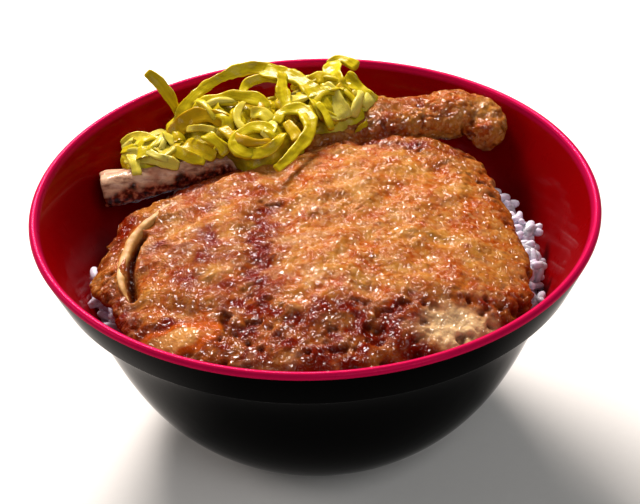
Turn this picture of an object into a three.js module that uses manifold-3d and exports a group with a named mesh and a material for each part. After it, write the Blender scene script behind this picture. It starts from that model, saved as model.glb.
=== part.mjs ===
// A pork chop rice bowl: a lacquered bowl with a collar and a foot ring, filled with rice, and on the
// rice a breaded, fried pork chop with its rib bone, and a heap of pickled mustard green strips.
//
// Millimetres, +Z up. The origin is the centre of the foot ring's underside, on the table, and the
// side of the bowl that faces the diner is at -Y.

import * as THREE from "three";
import { mergeVertices } from "three/addons/utils/BufferGeometryUtils.js";
import Module from "manifold-3d";

const wasm = await Module();
wasm.setup();

// ---- driving dimensions ---------------------------------------------------------------------------

const CLEARANCE = 0.35; // gap kept between pieces that rest on each other

// Bowl
const RIM_RADIUS = 90;
const BOWL_HEIGHT = 84;
const LIP_RADIUS = 1.35; // half the thickness of the rounded lip
const RIDGE_RADIUS = 85; // the collar's lower edge
const RIDGE_Z = 69.7;
const RIDGE_STEP = 2.9; // how far the body sits inside the ridge
const FOOT_OUTER = 41;
const FOOT_INNER = 36.6;
const FOOT_HEIGHT = 5;
const FLOOR_Z = 7.6; // inside bottom of the bowl
const UNDER_Z = 3; // underside inside the foot ring
const BOWL_SEGMENTS = 60;

// Pork chop: a slab that droops over the rice to its sides and front, and a thick tail behind it
const CHOP_CENTRE = new THREE.Vector2(0, -18);
const CHOP_THICKNESS = 13;
const CHOP_MID_Z = 77.5; // middle layer of the slab at its highest
const CHOP_DROOP_X = 0.0019; // drop for each mm squared away from the middle
const CHOP_DROOP_Y = 0.0006;
const CHOP_TILT = 0.018; // the left side lies lower
const CRAG_SPACING = 8; // of the crust's lumps
const CRAG_HEIGHT = 1.5;
const CREASE = { back: [-8, 30], front: [-22, -62], width: 7, depth: 2.4 }; // between two muscles
const FAT_GROOVE = { middle: [-47, -46], length: 20, width: 3, depth: 2.2 };
const RIPPLE = { share: 0.032, spacing: 11 }; // uneven edge of the slab
const TAIL_WIDTH = 22;
const TAIL_THICKNESS = 13.6;
const SEAM = { width: 11, thickness: 7 }; // strand of meat between the slab and the bone
const SLIT_DEPTH = 9.2;
const BAND = { width: 3.6, thickness: 3.8 }; // of fat
const BONE = { width: 14.8, thickness: 11.6, taper: 0.66, roll: -0.35 };

// Rice
const RICE_TOP = 73;
const RICE_FALLS = [ // how the heap drops from its middle to the wall
  { from: 0, over: 58, drop: 8 },
  { from: 50, over: 14, drop: 3 },
  { from: 67, over: 8, drop: 12 },
];
const RICE_BANK = 4; // higher at the back
const RICE_SEAT_Z = 50; // where the rice meets the wall
const RICE_DIPS = [ // hollows at the wall
  { at: [-64, 18], depth: 14, width: 22 },
  { at: [60, 50], depth: 14, width: 14 },
];
const GRAIN_LIFT = 0.4; // middle of a grain above the packed rice
const RICE_GAP = 0.6; // between the rice and the wall
const GRAIN = { length: 6.6, width: 3.1, sides: 5 };
const GRAIN_ROWS = [{ radius: 71, step: 8.6 }, { radius: 66.6, step: 12 }]; // that follow the wall

// Mustard greens
const STRIP = { width: 6.4, thickness: 2.6, sides: 6, ringsPerPoint: 1.5 };

// ---- colours --------------------------------------------------------------------------------------

const finish = (color, roughness) => new THREE.MeshStandardMaterial({ color, roughness, metalness: 0 });
const LACQUER = finish(0xb3122a, 0.2);
const RICE_WHITE = finish(0xece8e2, 0.5);
const FRIED_CRUST = finish(0xa8622c, 0.35);
const COOKED_BONE = finish(0xa08068, 0.55);
const PICKLE_YELLOW = finish(0xc9b423, 0.3);

// ---- small helpers --------------------------------------------------------------------------------

const clamp01 = (t) => Math.min(1, Math.max(0, t));
const smooth = (t) => clamp01(t) ** 2 * (3 - 2 * clamp01(t));
const mix = (a, b, t) => a + (b - a) * t;
const range = (count) => Array.from({ length: count }, (_, i) => i);
const point2 = (r, z) => new THREE.Vector2(r, z);

// A repeatable random number from 0 to 1 for a lattice point.
function lattice(i, j, seed) {
  let h = Math.imul(i, 374761393) ^ Math.imul(j, 668265263) ^ Math.imul(seed, 1274126177);
  h = Math.imul(h ^ (h >>> 13), 1103515245);
  return ((h ^ (h >>> 16)) >>> 8) / 16777216;
}

// Smooth value noise in the plane, from -1 to 1, one lump for each unit of x and y.
function noise(x, y, seed) {
  const i = Math.floor(x);
  const j = Math.floor(y);
  const u = smooth(x - i);
  const v = smooth(y - j);
  const near = mix(lattice(i, j, seed), lattice(i + 1, j, seed), u);
  const far = mix(lattice(i, j + 1, seed), lattice(i + 1, j + 1, seed), u);
  return 2 * mix(near, far, v) - 1;
}

// Distance in the plane from a point to the segment between two others.
function distanceToSegment(x, y, [ax, ay], [bx, by]) {
  const t = clamp01(((x - ax) * (bx - ax) + (y - ay) * (by - ay)) / ((bx - ax) ** 2 + (by - ay) ** 2));
  return Math.hypot(x - mix(ax, bx, t), y - mix(ay, by, t));
}

// Whether a point lies inside a closed polygon of the plane.
function inside(polygon, x, y) {
  const crossings = polygon.filter((a, i) => {
    const b = polygon[(i + 1) % polygon.length];
    return a.y > y !== b.y > y && x < a.x + ((y - a.y) * (b.x - a.x)) / (b.y - a.y);
  });
  return crossings.length % 2 === 1;
}

const curveThrough = (points, closed = false) => new THREE.CatmullRomCurve3(
  points.map(([x, y, z = 0]) => new THREE.Vector3(x, y, z)), closed, "centripetal");

// ---- solids ---------------------------------------------------------------------------------------

// A three.js geometry as a manifold-3d solid, turned the right way out.
function solidOf(geometry) {
  const bare = geometry.clone();
  for (const name of Object.keys(bare.attributes)) if (name !== "position") bare.deleteAttribute(name);
  const merged = mergeVertices(bare, 1e-4);
  const triVerts = new Uint32Array(merged.index.array);
  const build = () => new wasm.Manifold(
    new wasm.Mesh({ numProp: 3, vertProperties: merged.attributes.position.array, triVerts }));
  const made = build();
  if (made.volume() > 0) return made;
  for (let i = 0; i < triVerts.length; i += 3) {
    [triVerts[i + 1], triVerts[i + 2]] = [triVerts[i + 2], triVerts[i + 1]];
  }
  return build();
}

const join = (solids) => solids.reduce((a, b) => a.add(b));

// The largest closed body of a solid, without loose scraps and sealed hollows.
const mainBody = (made) => made.decompose().sort((a, b) => b.volume() - a.volume())[0];

function geometryOf(made) {
  const { vertProperties, numProp, numVert, triVerts } = made.getMesh();
  const positions = new Float32Array(numVert * 3);
  for (const i of range(numVert)) {
    positions.set(vertProperties.subarray(i * numProp, i * numProp + 3), i * 3);
  }
  const geometry = new THREE.BufferGeometry();
  geometry.setAttribute("position", new THREE.BufferAttribute(positions, 3));
  geometry.setIndex(new THREE.BufferAttribute(new Uint32Array(triVerts), 1));
  geometry.computeVertexNormals();
  return geometry;
}

// A closed skin over rings of equal count, closed at both ends by a pole point.
function loft(startPole, rings, endPole) {
  const sides = rings[0].length;
  const points = [startPole, ...rings.flat(), endPole];
  const at = (ring, side) => 1 + ring * sides + (side % sides);
  const faces = [];
  for (const side of range(sides)) {
    faces.push(0, at(0, side + 1), at(0, side));
    faces.push(points.length - 1, at(rings.length - 1, side), at(rings.length - 1, side + 1));
    for (const ring of range(rings.length - 1)) {
      faces.push(at(ring, side), at(ring, side + 1), at(ring + 1, side));
      faces.push(at(ring, side + 1), at(ring + 1, side + 1), at(ring + 1, side));
    }
  }
  const geometry = new THREE.BufferGeometry().setFromPoints(points);
  geometry.setIndex(faces);
  return geometry;
}

// An oval section carried along a spine. size(t) gives its half width and half thickness, and roll(t)
// turns it about the spine, in radians. At no roll the width lies level.
function sweep(spine, steps, sides, size, roll = () => 0) {
  const ringAt = (t) => {
    const centre = spine.getPointAt(t);
    const along = spine.getTangentAt(t);
    const wide = new THREE.Vector3(-along.y, along.x, 0).normalize().applyAxisAngle(along, roll(t));
    const thick = new THREE.Vector3().crossVectors(along, wide);
    const [halfWidth, halfThickness] = size(t);
    return range(sides).map((k) => {
      const a = (2 * Math.PI * k) / sides;
      return centre.clone()
        .addScaledVector(wide, halfWidth * Math.cos(a))
        .addScaledVector(thick, halfThickness * Math.sin(a));
    });
  };
  const rings = range(steps).map((i) => ringAt((i + 0.5) / steps));
  return loft(spine.getPointAt(0), rings, spine.getPointAt(1));
}

// How far a swept piece is filled out at share t: 1 in the middle, rounded off at both ends.
const roundEnds = (t, power) => Math.sqrt(clamp01(1 - Math.abs(2 * t - 1) ** power));

// ---- bowl -----------------------------------------------------------------------------------------

const LIP_CENTRE = point2(RIM_RADIUS - LIP_RADIUS, BOWL_HEIGHT - LIP_RADIUS);
const WALL_STEPS = 9;

// The inside wall, from the lip down to the floor.
const INSIDE = new THREE.CubicBezierCurve(
  point2(RIM_RADIUS - 2 * LIP_RADIUS, LIP_CENTRE.y), point2(73.5, 60), point2(68, 24), point2(42, FLOOR_Z));
// The outside of the body, from the foot ring up to the step under the ridge.
const OUTSIDE = new THREE.CubicBezierCurve(
  point2(45.5, FOOT_HEIGHT + 0.6), point2(70.5, 24), point2(70.5, 50),
  point2(RIDGE_RADIUS - RIDGE_STEP, RIDGE_Z - 1.2));

// Radius of the inside wall at a height.
function wallRadius(z) {
  const points = INSIDE.getPoints(WALL_STEPS);
  const i = points.findIndex((p) => p.y <= z);
  const [high, low] = [points[i - 1], points[i]];
  return mix(low.x, high.x, (z - low.y) / (high.y - low.y));
}

function lathe(profile) {
  const geometry = new THREE.LatheGeometry(profile, BOWL_SEGMENTS);
  geometry.rotateX(Math.PI / 2);
  return solidOf(geometry);
}

function bowlSolid() {
  const foot = [
    point2(0, UNDER_Z), point2(FOOT_INNER - 1.4, UNDER_Z), point2(FOOT_INNER, 0),
    point2(FOOT_OUTER - 0.6, 0), point2(FOOT_OUTER, 0.6), point2(FOOT_OUTER + 0.5, FOOT_HEIGHT - 0.4),
  ];
  const ridge = [point2(RIDGE_RADIUS - 0.7, RIDGE_Z - 0.8), point2(RIDGE_RADIUS, RIDGE_Z)];
  const lip = range(5).map((i) => {
    const a = (i / 4) * Math.PI;
    return point2(LIP_CENTRE.x + LIP_RADIUS * Math.cos(a), LIP_CENTRE.y + LIP_RADIUS * Math.sin(a));
  });
  const wall = INSIDE.getPoints(WALL_STEPS).slice(1);
  return lathe([...foot, ...OUTSIDE.getPoints(7), ...ridge, ...lip, ...wall, point2(0, FLOOR_Z - 0.6)]);
}

// The space inside the bowl, a clearance away from its wall, open above.
function insideSpace() {
  const wall = INSIDE.getPoints(WALL_STEPS).reverse().map((p) => point2(p.x - 0.6, p.y + CLEARANCE));
  const open = BOWL_HEIGHT + 40;
  return lathe([point2(0, FLOOR_Z), ...wall, point2(RIM_RADIUS - 3.6, open), point2(0, open)]);
}

// ---- pork chop ------------------------------------------------------------------------------------

// Outline of the slab, seen from above, counterclockwise from the right.
const CHOP_OUTLINE = curveThrough([
  [65, -29], [63.5, -13], [62.5, 2], [60.5, 17], [57, 29], [53.5, 37.5], [41, 43], [5, 38], [-10, 33],
  [-24, 25], [-38, 17], [-52, 14], [-62, 11], [-67.5, 1], [-70, -13], [-69, -25], [-62, -34], [-60, -45],
  [-50, -60], [-35, -70], [-16, -76], [6, -78], [24, -75], [40, -68], [53, -58], [62, -44],
], true);

const SLAB_REACH = 66; // rough radius of the outline

const chopMid = (x, y) =>
  CHOP_MID_Z - CHOP_DROOP_X * x * x - CHOP_DROOP_Y * (y - 10) ** 2 + CHOP_TILT * x;

// Depth of a groove of the given width at a distance from its line.
const groove = (distance, { width, depth }) => depth * Math.exp(-((distance / width) ** 2));

const crease = (x, y) => groove(distanceToSegment(x, y, CREASE.back, CREASE.front), CREASE);

// The groove that sets off the lobe of fat at the front left.
function fatGroove(x, y) {
  const [mx, my] = FAT_GROOVE.middle;
  const reach = FAT_GROOVE.length / 2;
  const ends = [[mx - 0.86 * reach, my + 0.5 * reach], [mx + 0.86 * reach, my - 0.5 * reach]];
  return groove(distanceToSegment(x, y, ...ends), FAT_GROOVE);
}

// Lumps of the fried crust, in two sizes.
function crags(x, y) {
  const [u, v] = [x / CRAG_SPACING, y / CRAG_SPACING];
  return CRAG_HEIGHT * (noise(u, v, 1) + 0.5 * noise(2 * u, 2 * v, 2));
}

// The slab: rings from the middle of its top out to the edge, and back underneath to the middle. With
// a cover it is a smooth shell round the crags, that much larger, for cutting what lies on it.
function slabSolid({ sides, topShares, underShares, cover = 0 }) {
  const edge = range(sides).map((k) => CHOP_OUTLINE.getPointAt(k / sides));
  const half = CHOP_THICKNESS / 2;
  const ringAt = (share, upper) => edge.map((p) => {
    const ripple = cover
      ? 1 + cover / SLAB_REACH
      : 1 + RIPPLE.share * share ** 4 * noise(p.x / RIPPLE.spacing, p.y / RIPPLE.spacing, 5);
    const x = mix(CHOP_CENTRE.x, p.x, share * ripple);
    const y = mix(CHOP_CENTRE.y, p.y, share * ripple);
    const bulge = half * (1 - share ** 5) ** (1 / 2.2);
    if (!upper) return new THREE.Vector3(x, y, chopMid(x, y) - bulge - cover);
    const relief = cover || (crags(x, y) - crease(x, y) - fatGroove(x, y)) * mix(1, 0.4, share ** 8);
    return new THREE.Vector3(x, y, chopMid(x, y) + bulge + relief);
  });
  const rings = [...topShares.map((s) => ringAt(s, true)), ...underShares.map((s) => ringAt(s, false))];
  const [x, y] = CHOP_CENTRE.toArray();
  const top = new THREE.Vector3(x, y, chopMid(x, y) + half + (cover || crags(x, y)));
  return solidOf(loft(top, rings, new THREE.Vector3(x, y, chopMid(x, y) - half - cover)));
}

// The thick tail folds round behind the slab and ends in a knob on the right.
const TAIL = curveThrough([
  [-14, 37, 75], [4, 45, 76], [22, 51, 77.5], [38, 53, 78.5], [50, 53, 80], [57.5, 49, 80],
  [59.5, 43, 78], [59.4, 38.2, 75],
]);
function tailSolid({ steps, sides, cover = 0 }) {
  const bulk = (t) => {
    const width = (TAIL_WIDTH / 2) * mix(1, 0.9, smooth(t * 1.4 - 0.4));
    const filled = cover ? 1 : (1 + 0.13 * noise(t * 9, 0.5, 11)) * roundEnds(t, 6);
    return [width * filled + cover, (TAIL_THICKNESS / 2) * filled + cover];
  };
  const geometry = sweep(TAIL, steps, sides, bulk);
  const position = geometry.attributes.position;
  const lift = (x, y, z) => (cover ? 0 : 0.9 * crags(x + 40, y + z));
  for (const i of range(position.count)) {
    const [x, y, z] = [position.getX(i), position.getY(i), position.getZ(i)];
    position.setZ(i, z + lift(x, y, z));
  }
  return solidOf(geometry);
}

// The slit where the band of fat on the left edge has come away from the meat, and the band itself.
const SLIT = curveThrough([
  [-54.5, -9, 75], [-56.6, -15.5, 74.5], [-57.3, -21.5, 74], [-57.2, -28, 73], [-55.8, -36, 71.5],
]);
const slitSolid = () => solidOf(sweep(SLIT, 8, 6, (t) => [0.2 + 0.9 * roundEnds(t, 2), SLIT_DEPTH / 2]));
const BAND_LINE = curveThrough([
  [-46, 5, 78.5], [-50.3, 0, 77.4], [-56.8, -8, 75.2], [-59, -14, 74], [-60.2, -21, 73], [-60.2, -28, 72.2],
  [-57.3, -36.6, 70.4],
]);
const bandSolid = () => solidOf(sweep(BAND_LINE, 10, 6, (t) =>
  [(BAND.width / 2) * roundEnds(t, 2), BAND.thickness / 2]));

// The strand of meat that joins the slab to the bone, burnt where it narrows to the left.
const SEAM_LINE = curveThrough([[-50, 18, 69], [-38, 21, 71], [-24, 26, 73], [-12, 31, 74.5]]);
const seamSolid = (cover = 0) => solidOf(sweep(SEAM_LINE, 8, 8, (t) =>
  [(SEAM.width / 2) * roundEnds(t, 3) + cover, (SEAM.thickness / 2) * roundEnds(t, 3) + cover]));

// ---- rib bone -------------------------------------------------------------------------------------

const BONE_LINE = curveThrough([
  [-71, 28, 70], [-58, 30, 71], [-45, 32, 73], [-32, 34, 74.5], [-20, 35, 75.5], [-12, 35, 75.8],
]);
function boneSolid(grow) {
  const size = (t) => {
    const bulk = mix(1, BONE.taper, t) * (1 + 0.05 * noise(t * 7, 3, 21)) * mix(0.82, 1, roundEnds(t, 14));
    return [(BONE.width / 2) * bulk + grow, (BONE.thickness / 2) * bulk + grow];
  };
  return solidOf(sweep(BONE_LINE, 12, 8, size, () => BONE.roll));
}

// ---- rice -----------------------------------------------------------------------------------------

// Lowest underside of the chop over a point, or far up where nothing lies on the rice.
function ceiling(x, y, slabOutline, tailLine) {
  const slab = inside(slabOutline, x, y) ? chopMid(x, y) - CHOP_THICKNESS / 2 : BOWL_HEIGHT;
  const tail = tailLine.some((p) => Math.hypot(p.x - x, p.y - y) < TAIL_WIDTH / 2 + 1)
    ? Math.min(...tailLine.map((p) => p.z)) - TAIL_THICKNESS / 2 - CRAG_HEIGHT
    : BOWL_HEIGHT;
  return Math.min(slab, tail);
}

// Height of the heap of rice: highest under the chop, banked up at the back, dropping at the wall.
function heapHeight(x, y) {
  const r = Math.hypot(x, y);
  const fallen = RICE_FALLS.reduce((sum, { from, over, drop }) => sum + drop * smooth((r - from) / over), 0);
  const dips = RICE_DIPS.map((dip) => groove(Math.hypot(x - dip.at[0], y - dip.at[1]), dip));
  const bank = RICE_BANK * smooth(y / 60) * smooth(r / 60);
  return RICE_TOP - fallen - Math.max(...dips) + bank + 0.7 * noise(x / 5, y / 5, 31);
}

// The rice without its loose grains. It fills the bowl's inside, and its top stays under the chop.
function riceCoreSolid(riceHeight) {
  const sides = 36;
  const ringAtHeight = (z) => range(sides).map((k) => {
    const a = (2 * Math.PI * k) / sides;
    const r = wallRadius(z) - RICE_GAP;
    return new THREE.Vector3(r * Math.cos(a), r * Math.sin(a), z);
  });
  const seat = ringAtHeight(RICE_SEAT_Z);
  const topRings = [0.25, 0.5, 0.68, 0.78, 0.87, 0.93, 0.97].map((share) => seat.map((p) => {
    const [x, y] = [p.x * share, p.y * share];
    return new THREE.Vector3(x, y, Math.max(RICE_SEAT_Z + 0.3, riceHeight(x, y)));
  }));
  const wallRings = INSIDE.getPoints(WALL_STEPS).map((p) => p.y)
    .filter((z) => z < RICE_SEAT_Z - 3 && z > FLOOR_Z + 1).map(ringAtHeight);
  const top = new THREE.Vector3(0, 0, riceHeight(0, 0));
  const bottom = new THREE.Vector3(0, 0, FLOOR_Z + RICE_GAP);
  return solidOf(loft(top, [...topRings, seat, ...wallRings], bottom));
}

// One cooked grain, a plump spindle that lies along X.
function grainSolid() {
  const half = GRAIN.length / 2;
  const rings = [-0.5, 0.5].map((t) => range(GRAIN.sides).map((k) => {
    const a = (2 * Math.PI * k) / GRAIN.sides;
    const r = GRAIN.width / 2;
    return new THREE.Vector3(t * half, r * Math.cos(a), r * Math.sin(a));
  }));
  return solidOf(loft(new THREE.Vector3(-half, 0, 0), rings, new THREE.Vector3(half, 0, 0)));
}

// Grains where the heap shows round the chop.
function grainSolids(riceHeight, hasRoom) {
  const grain = grainSolid();
  return GRAIN_ROWS.flatMap(({ radius, step }, row) => {
    const count = Math.floor((2 * Math.PI * radius) / step);
    return range(count).flatMap((k) => {
      const shake = (seed) => lattice(k, row, seed) - 0.5;
      const a = (2 * Math.PI * (k + 0.5 * shake(41))) / count;
      const [x, y] = [(radius + shake(42)) * Math.cos(a), (radius + shake(42)) * Math.sin(a)];
      if (!hasRoom(x, y)) return [];
      const heading = THREE.MathUtils.radToDeg(a) + 90 + 150 * shake(43);
      const turned = grain.rotate([30 * shake(44), 26 * shake(45), heading]);
      return [turned.translate([x, y, riceHeight(x, y) + GRAIN_LIFT])];
    });
  });
}

// ---- mustard greens -------------------------------------------------------------------------------

// Spines of the strips that can be told apart, from the back of the heap to its front.
const STRIPS = [
  { spine: [[-45, 55.5, 80], [-48.4, 56.6, 89], [-52.1, 57.8, 94], [-56.1, 59.7, 97]], width: 0.55 },
  {
    spine: [
      [-46.6, 49.1, 81], [-40.8, 55.7, 88], [-32.6, 63.3, 90.5], [-20.8, 69.2, 91.5], [-9.6, 66, 92],
    ],
    width: 0.72,
  },
  { spine: [[-16.6, 67.4, 91.5], [-4.5, 59.2, 92], [3.1, 45.6, 90], [4.9, 41.5, 86.5]], width: 0.95 },
  { spine: [[-10, 62.5, 93], [-9.7, 52.6, 92], [-8, 43.5, 89.4]], width: 0.75 },
  {
    spine: [
      [-40, 46.6, 85], [-36.2, 51.3, 88], [-27, 53, 89.8], [-18, 50.1, 89.5], [-14.3, 46.3, 88],
    ],
    width: 0.75,
  },
  {
    spine: [
      [-48.2, 40.4, 80], [-45.3, 43.3, 84], [-40.5, 45.4, 86.5], [-34.3, 44.6, 87.5], [-27.5, 41, 87],
    ],
    width: 0.85,
  },
  {
    spine: [
      [-16.1, 26.9, 83.5], [-22, 24.6, 84], [-25.3, 28, 85], [-23.6, 32.3, 87], [-19.2, 34.8, 88],
      [-14.6, 33.2, 88], [-11.7, 29.7, 86.5],
    ],
    width: 0.68,
  },
  {
    spine: [
      [-11.6, 36.9, 88], [-9.5, 42.3, 89], [-3.5, 42.5, 89.5], [-0.6, 31.4, 88.5], [-7.4, 18.9, 86],
      [-12.4, 12.5, 85.3],
    ],
    width: 0.7,
  },
  { spine: [[6.1, 72, 90], [10.8, 73.2, 91.5], [16.6, 69.8, 90]], width: 0.7 },
  { spine: [[8.7, 72.9, 91], [8.4, 63.6, 91], [10.8, 55.5, 89.5], [14.1, 51.2, 87.5]], width: 1 },
  { spine: [[12.2, 63.5, 90.5], [15.8, 58.3, 88.5], [19.7, 54.6, 86.5], [22.8, 54.2, 85]], width: 0.95 },
  { spine: [[4, 54.8, 91], [6.6, 50.1, 90], [8.4, 45.3, 88], [10.3, 41.5, 85.5]], width: 1.1 },
  { spine: [[-64.9, 42.2, 78], [-59.2, 41.8, 80], [-53, 37.1, 81], [-46.9, 30.3, 81]], width: 1 },
  { spine: [[-63.2, 36.1, 77.5], [-57.4, 33.6, 79], [-51, 29.9, 79.5], [-44.3, 27.1, 79]], width: 0.8 },
  { spine: [[-61.1, 34.5, 79.3], [-59.3, 29.5, 78.3], [-58.6, 25.7, 76.3]], width: 0.65 },
];

function stripSolid({ spine, width }, index) {
  const size = (t) => {
    const filled = mix(0.5, 1, roundEnds(t, 8));
    return [(STRIP.width / 2) * width * filled, (STRIP.thickness / 2) * filled];
  };
  const roll = (t) => -0.5 + 0.5 * noise(t * 2, index, 51);
  const rings = Math.round(STRIP.ringsPerPoint * spine.length);
  return solidOf(sweep(curveThrough(spine), rings, STRIP.sides, size, roll));
}

// The mass of chopped leaf that the strips lie on: lumpy mounds.
const MOUNDS = [
  { centre: [-28, 50, 74], radii: [24, 19, 14] },
  { centre: [4, 54, 77], radii: [20, 16, 13.5] },
  { centre: [-51, 38, 73], radii: [15, 11, 8.5] },
  { centre: [-17, 36, 78], radii: [14, 12, 9.5] },
];
function moundSolid({ centre, radii }, index) {
  const [sides, bands] = [12, 6];
  const middle = new THREE.Vector3(...centre);
  const reach = new THREE.Vector3(...radii);
  const rings = range(bands - 1).map((j) => range(sides).map((k) => {
    const a = (2 * Math.PI * k) / sides;
    const b = (Math.PI * (j + 1)) / bands;
    const lump = 1 + 0.07 * noise(k / 1.6, j / 1.3, 61 + index);
    const out = new THREE.Vector3(Math.sin(b) * Math.cos(a), Math.sin(b) * Math.sin(a), Math.cos(b));
    return out.multiplyScalar(lump).multiply(reach).add(middle);
  }));
  const pole = (sign) => new THREE.Vector3(0, 0, sign * reach.z).add(middle);
  return solidOf(loft(pole(1), rings, pole(-1)));
}

// ---- assembly -------------------------------------------------------------------------------------

function chopSolid(space) {
  const slab = slabSolid({
    sides: 84,
    topShares: [0.06, 0.15, 0.25, 0.35, 0.45, 0.55, 0.65, 0.74, 0.82, 0.89, 0.945, 0.985],
    underShares: [0.985, 0.9, 0.6],
  });
  const whole = join([slab, tailSolid({ steps: 20, sides: 12 }), seamSolid()]);
  const meat = whole.subtract(slitSolid()).add(bandSolid());
  return mainBody(meat.subtract(boneSolid(CLEARANCE)).intersect(space));
}

// Smooth covers of what the greens lie on, cut out of them so that nothing touches.
function coversUnderGreens() {
  const cover = 1.5 * CRAG_HEIGHT + CLEARANCE;
  return [
    slabSolid({ sides: 28, topShares: [0.5, 0.85, 0.99], underShares: [0.99, 0.7], cover }),
    tailSolid({ steps: 12, sides: 10, cover }),
    seamSolid(2 * CLEARANCE),
    boneSolid(2 * CLEARANCE),
  ];
}

function riceSolid(space) {
  const slabOutline = CHOP_OUTLINE.getPoints(80);
  const tailLine = TAIL.getPoints(16);
  const riceHeight = (x, y) =>
    Math.min(heapHeight(x, y), ceiling(x, y, slabOutline, tailLine) - 2 * CLEARANCE);
  const underMound = (x, y) => MOUNDS.some(({ centre, radii }) =>
    Math.hypot((x - centre[0]) / radii[0], (y - centre[1]) / radii[1]) < 1);
  const [boneEnd, boneRoot] = [BONE_LINE.getPoint(0), BONE_LINE.getPoint(1)];
  const hasRoom = (x, y) => !underMound(x, y)
    && distanceToSegment(x, y, boneEnd.toArray(), boneRoot.toArray()) > BONE.width / 2
    && heapHeight(x, y) + GRAIN.width < ceiling(x, y, slabOutline, tailLine);
  const core = riceCoreSolid(riceHeight);
  const rice = mainBody(core.add(join(grainSolids(riceHeight, hasRoom)).intersect(space)));
  return { core, rice };
}

function greensSolid(space, riceCore) {
  const heap = join([...MOUNDS.map(moundSolid), ...STRIPS.map(stripSolid)]).intersect(space);
  const covers = [...coversUnderGreens(), riceCore.translate([0, 0, 2 * CLEARANCE])];
  return mainBody(covers.reduce((left, cover) => left.subtract(cover), heap));
}

function build() {
  const space = insideSpace();
  const { core, rice } = riceSolid(space);
  const pieces = [
    ["bowl", bowlSolid(), LACQUER],
    ["rice", rice, RICE_WHITE],
    ["pork_chop", chopSolid(space), FRIED_CRUST],
    ["rib_bone", boneSolid(0).intersect(space), COOKED_BONE],
    ["mustard_greens", greensSolid(space, core), PICKLE_YELLOW],
  ];
  const group = new THREE.Group();
  for (const [name, made, material] of pieces) {
    const mesh = new THREE.Mesh(geometryOf(made), material);
    mesh.name = name;
    group.add(mesh);
  }
  return group;
}

export default build();
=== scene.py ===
"""Looks for the pork chop rice bowl: lacquered bowl, steamed rice, fried pork chop, rib bone and
pickled mustard greens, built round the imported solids.

Shape functions work in millimetres in the frame of the solids, with the table at z 0 and the diner at
-Y. Meshes are turned to metres when they are made.
"""

import itertools
import math

import bpy
import numpy as np
from mathutils import Matrix


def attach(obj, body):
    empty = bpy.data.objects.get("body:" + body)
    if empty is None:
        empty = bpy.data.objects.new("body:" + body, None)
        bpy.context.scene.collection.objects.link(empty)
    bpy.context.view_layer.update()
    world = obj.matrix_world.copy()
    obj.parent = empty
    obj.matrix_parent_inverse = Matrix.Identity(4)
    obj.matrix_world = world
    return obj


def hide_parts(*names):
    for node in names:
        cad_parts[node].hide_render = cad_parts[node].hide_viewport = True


bl_info = {
    "name": "Pork chop rice bowl",
    "version": (1, 0, 0),
    "blender": (4, 5, 0),
    "location": "View3D > Sidebar > Rice bowl",
    "description": "Builds a lacquered bowl of rice with a fried pork chop and pickled mustard greens",
    "category": "Add Mesh",
}

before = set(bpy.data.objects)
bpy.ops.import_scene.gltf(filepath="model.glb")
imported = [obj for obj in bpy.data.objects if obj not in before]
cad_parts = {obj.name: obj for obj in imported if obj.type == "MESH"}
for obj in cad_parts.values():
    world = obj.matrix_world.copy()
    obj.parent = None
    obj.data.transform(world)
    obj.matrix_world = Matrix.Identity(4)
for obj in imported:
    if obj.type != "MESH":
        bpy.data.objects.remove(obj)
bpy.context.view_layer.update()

MM = 0.001

# ---- measures shared by several pieces, mm ---------------------------------------------------------

CLEARANCE = 0.35
FLOOR_Z = 7.6
RICE_SEAT_Z = 50.0
RICE_FALLS = ((0, 58, 8), (50, 14, 3), (67, 8, 12))  # from a radius, over a width, by a drop
RICE_DIPS = (((-64, 18), 14, 22), ((60, 50), 14, 14))  # place, depth and width of hollows at the wall
CLUMPS = [  # middles of the clumps of rice beside the chop
    (57.5, 30, 62), (64, 22.5, 62), (65, 11, 62), (70, 6, 61.5), (68, -6, 61.5), (65, -16.5, 61),
    (69.5, -13, 61), (66.5, -30, 60.5), (-70, -7, 59.5), (-68, -20, 59),
]

CHOP_CENTRE = (0.0, -18.0)
CHOP_RADII = (66, 58)  # half its width and half its depth
CHOP_MID_Z = 77.5
SLAB_HALF = 6.5  # half its thickness
CHOP_OUTLINE = [
    (65, -29), (63.5, -13), (62.5, 2), (60.5, 17), (57, 29), (53.5, 37.5), (41, 43), (5, 38), (-10, 33),
    (-24, 25), (-38, 17), (-52, 14), (-62, 11), (-67.5, 1), (-70, -13), (-69, -25), (-62, -34), (-60, -45),
    (-50, -60), (-35, -70), (-16, -76), (6, -78), (24, -75), (40, -68), (53, -58), (62, -44),
]
CREASE = [(-8, 30), (-22, -62)]  # between the two muscles
FAT_GROOVE = [(-55.6, -41), (-38.4, -51)]
SAUCE_CREASE = [(-13, 0), (-17.7, -23), (-14, -40), (-22, -64)]  # sauce gathered between the muscles
SAUCE_SIDE = [(-31, -18), (-36, -33), (-40, -42)]  # in the furrow left of them
SAUCE_BEHIND = [(-10, 34), (20, 35), (48, 30)]  # and at the foot of the tail
CREAM_SPOT = ((41, -62), (21, 13))  # centre and radii of the pale starch
FAT_SPOT = ((-42, -60), (20, 9))  # centre and radii of the bare fat
TAIL = [
    (-14, 37, 75), (4, 45, 76), (22, 51, 77.5), (38, 53, 78.5), (50, 53, 80), (57.5, 49, 80),
    (59.5, 43, 78), (59.4, 38.2, 75),
]
TAIL_HALF_SIZE = (11, 6.8)  # half its width and half its thickness
TAIL_REACH = 12  # how far to each side of its curve it lies over the rice
TAIL_UNDERSIDE_Z = 66.7
BONE_GAP = [(-64, 28), (-50, 35), (-38, 38)]  # where the rice lies deep under the bone
SEAM = [(-50, 18, 69), (-38, 21, 71), (-24, 26, 73), (-12, 31, 74.5)]  # strand between slab and bone
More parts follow.
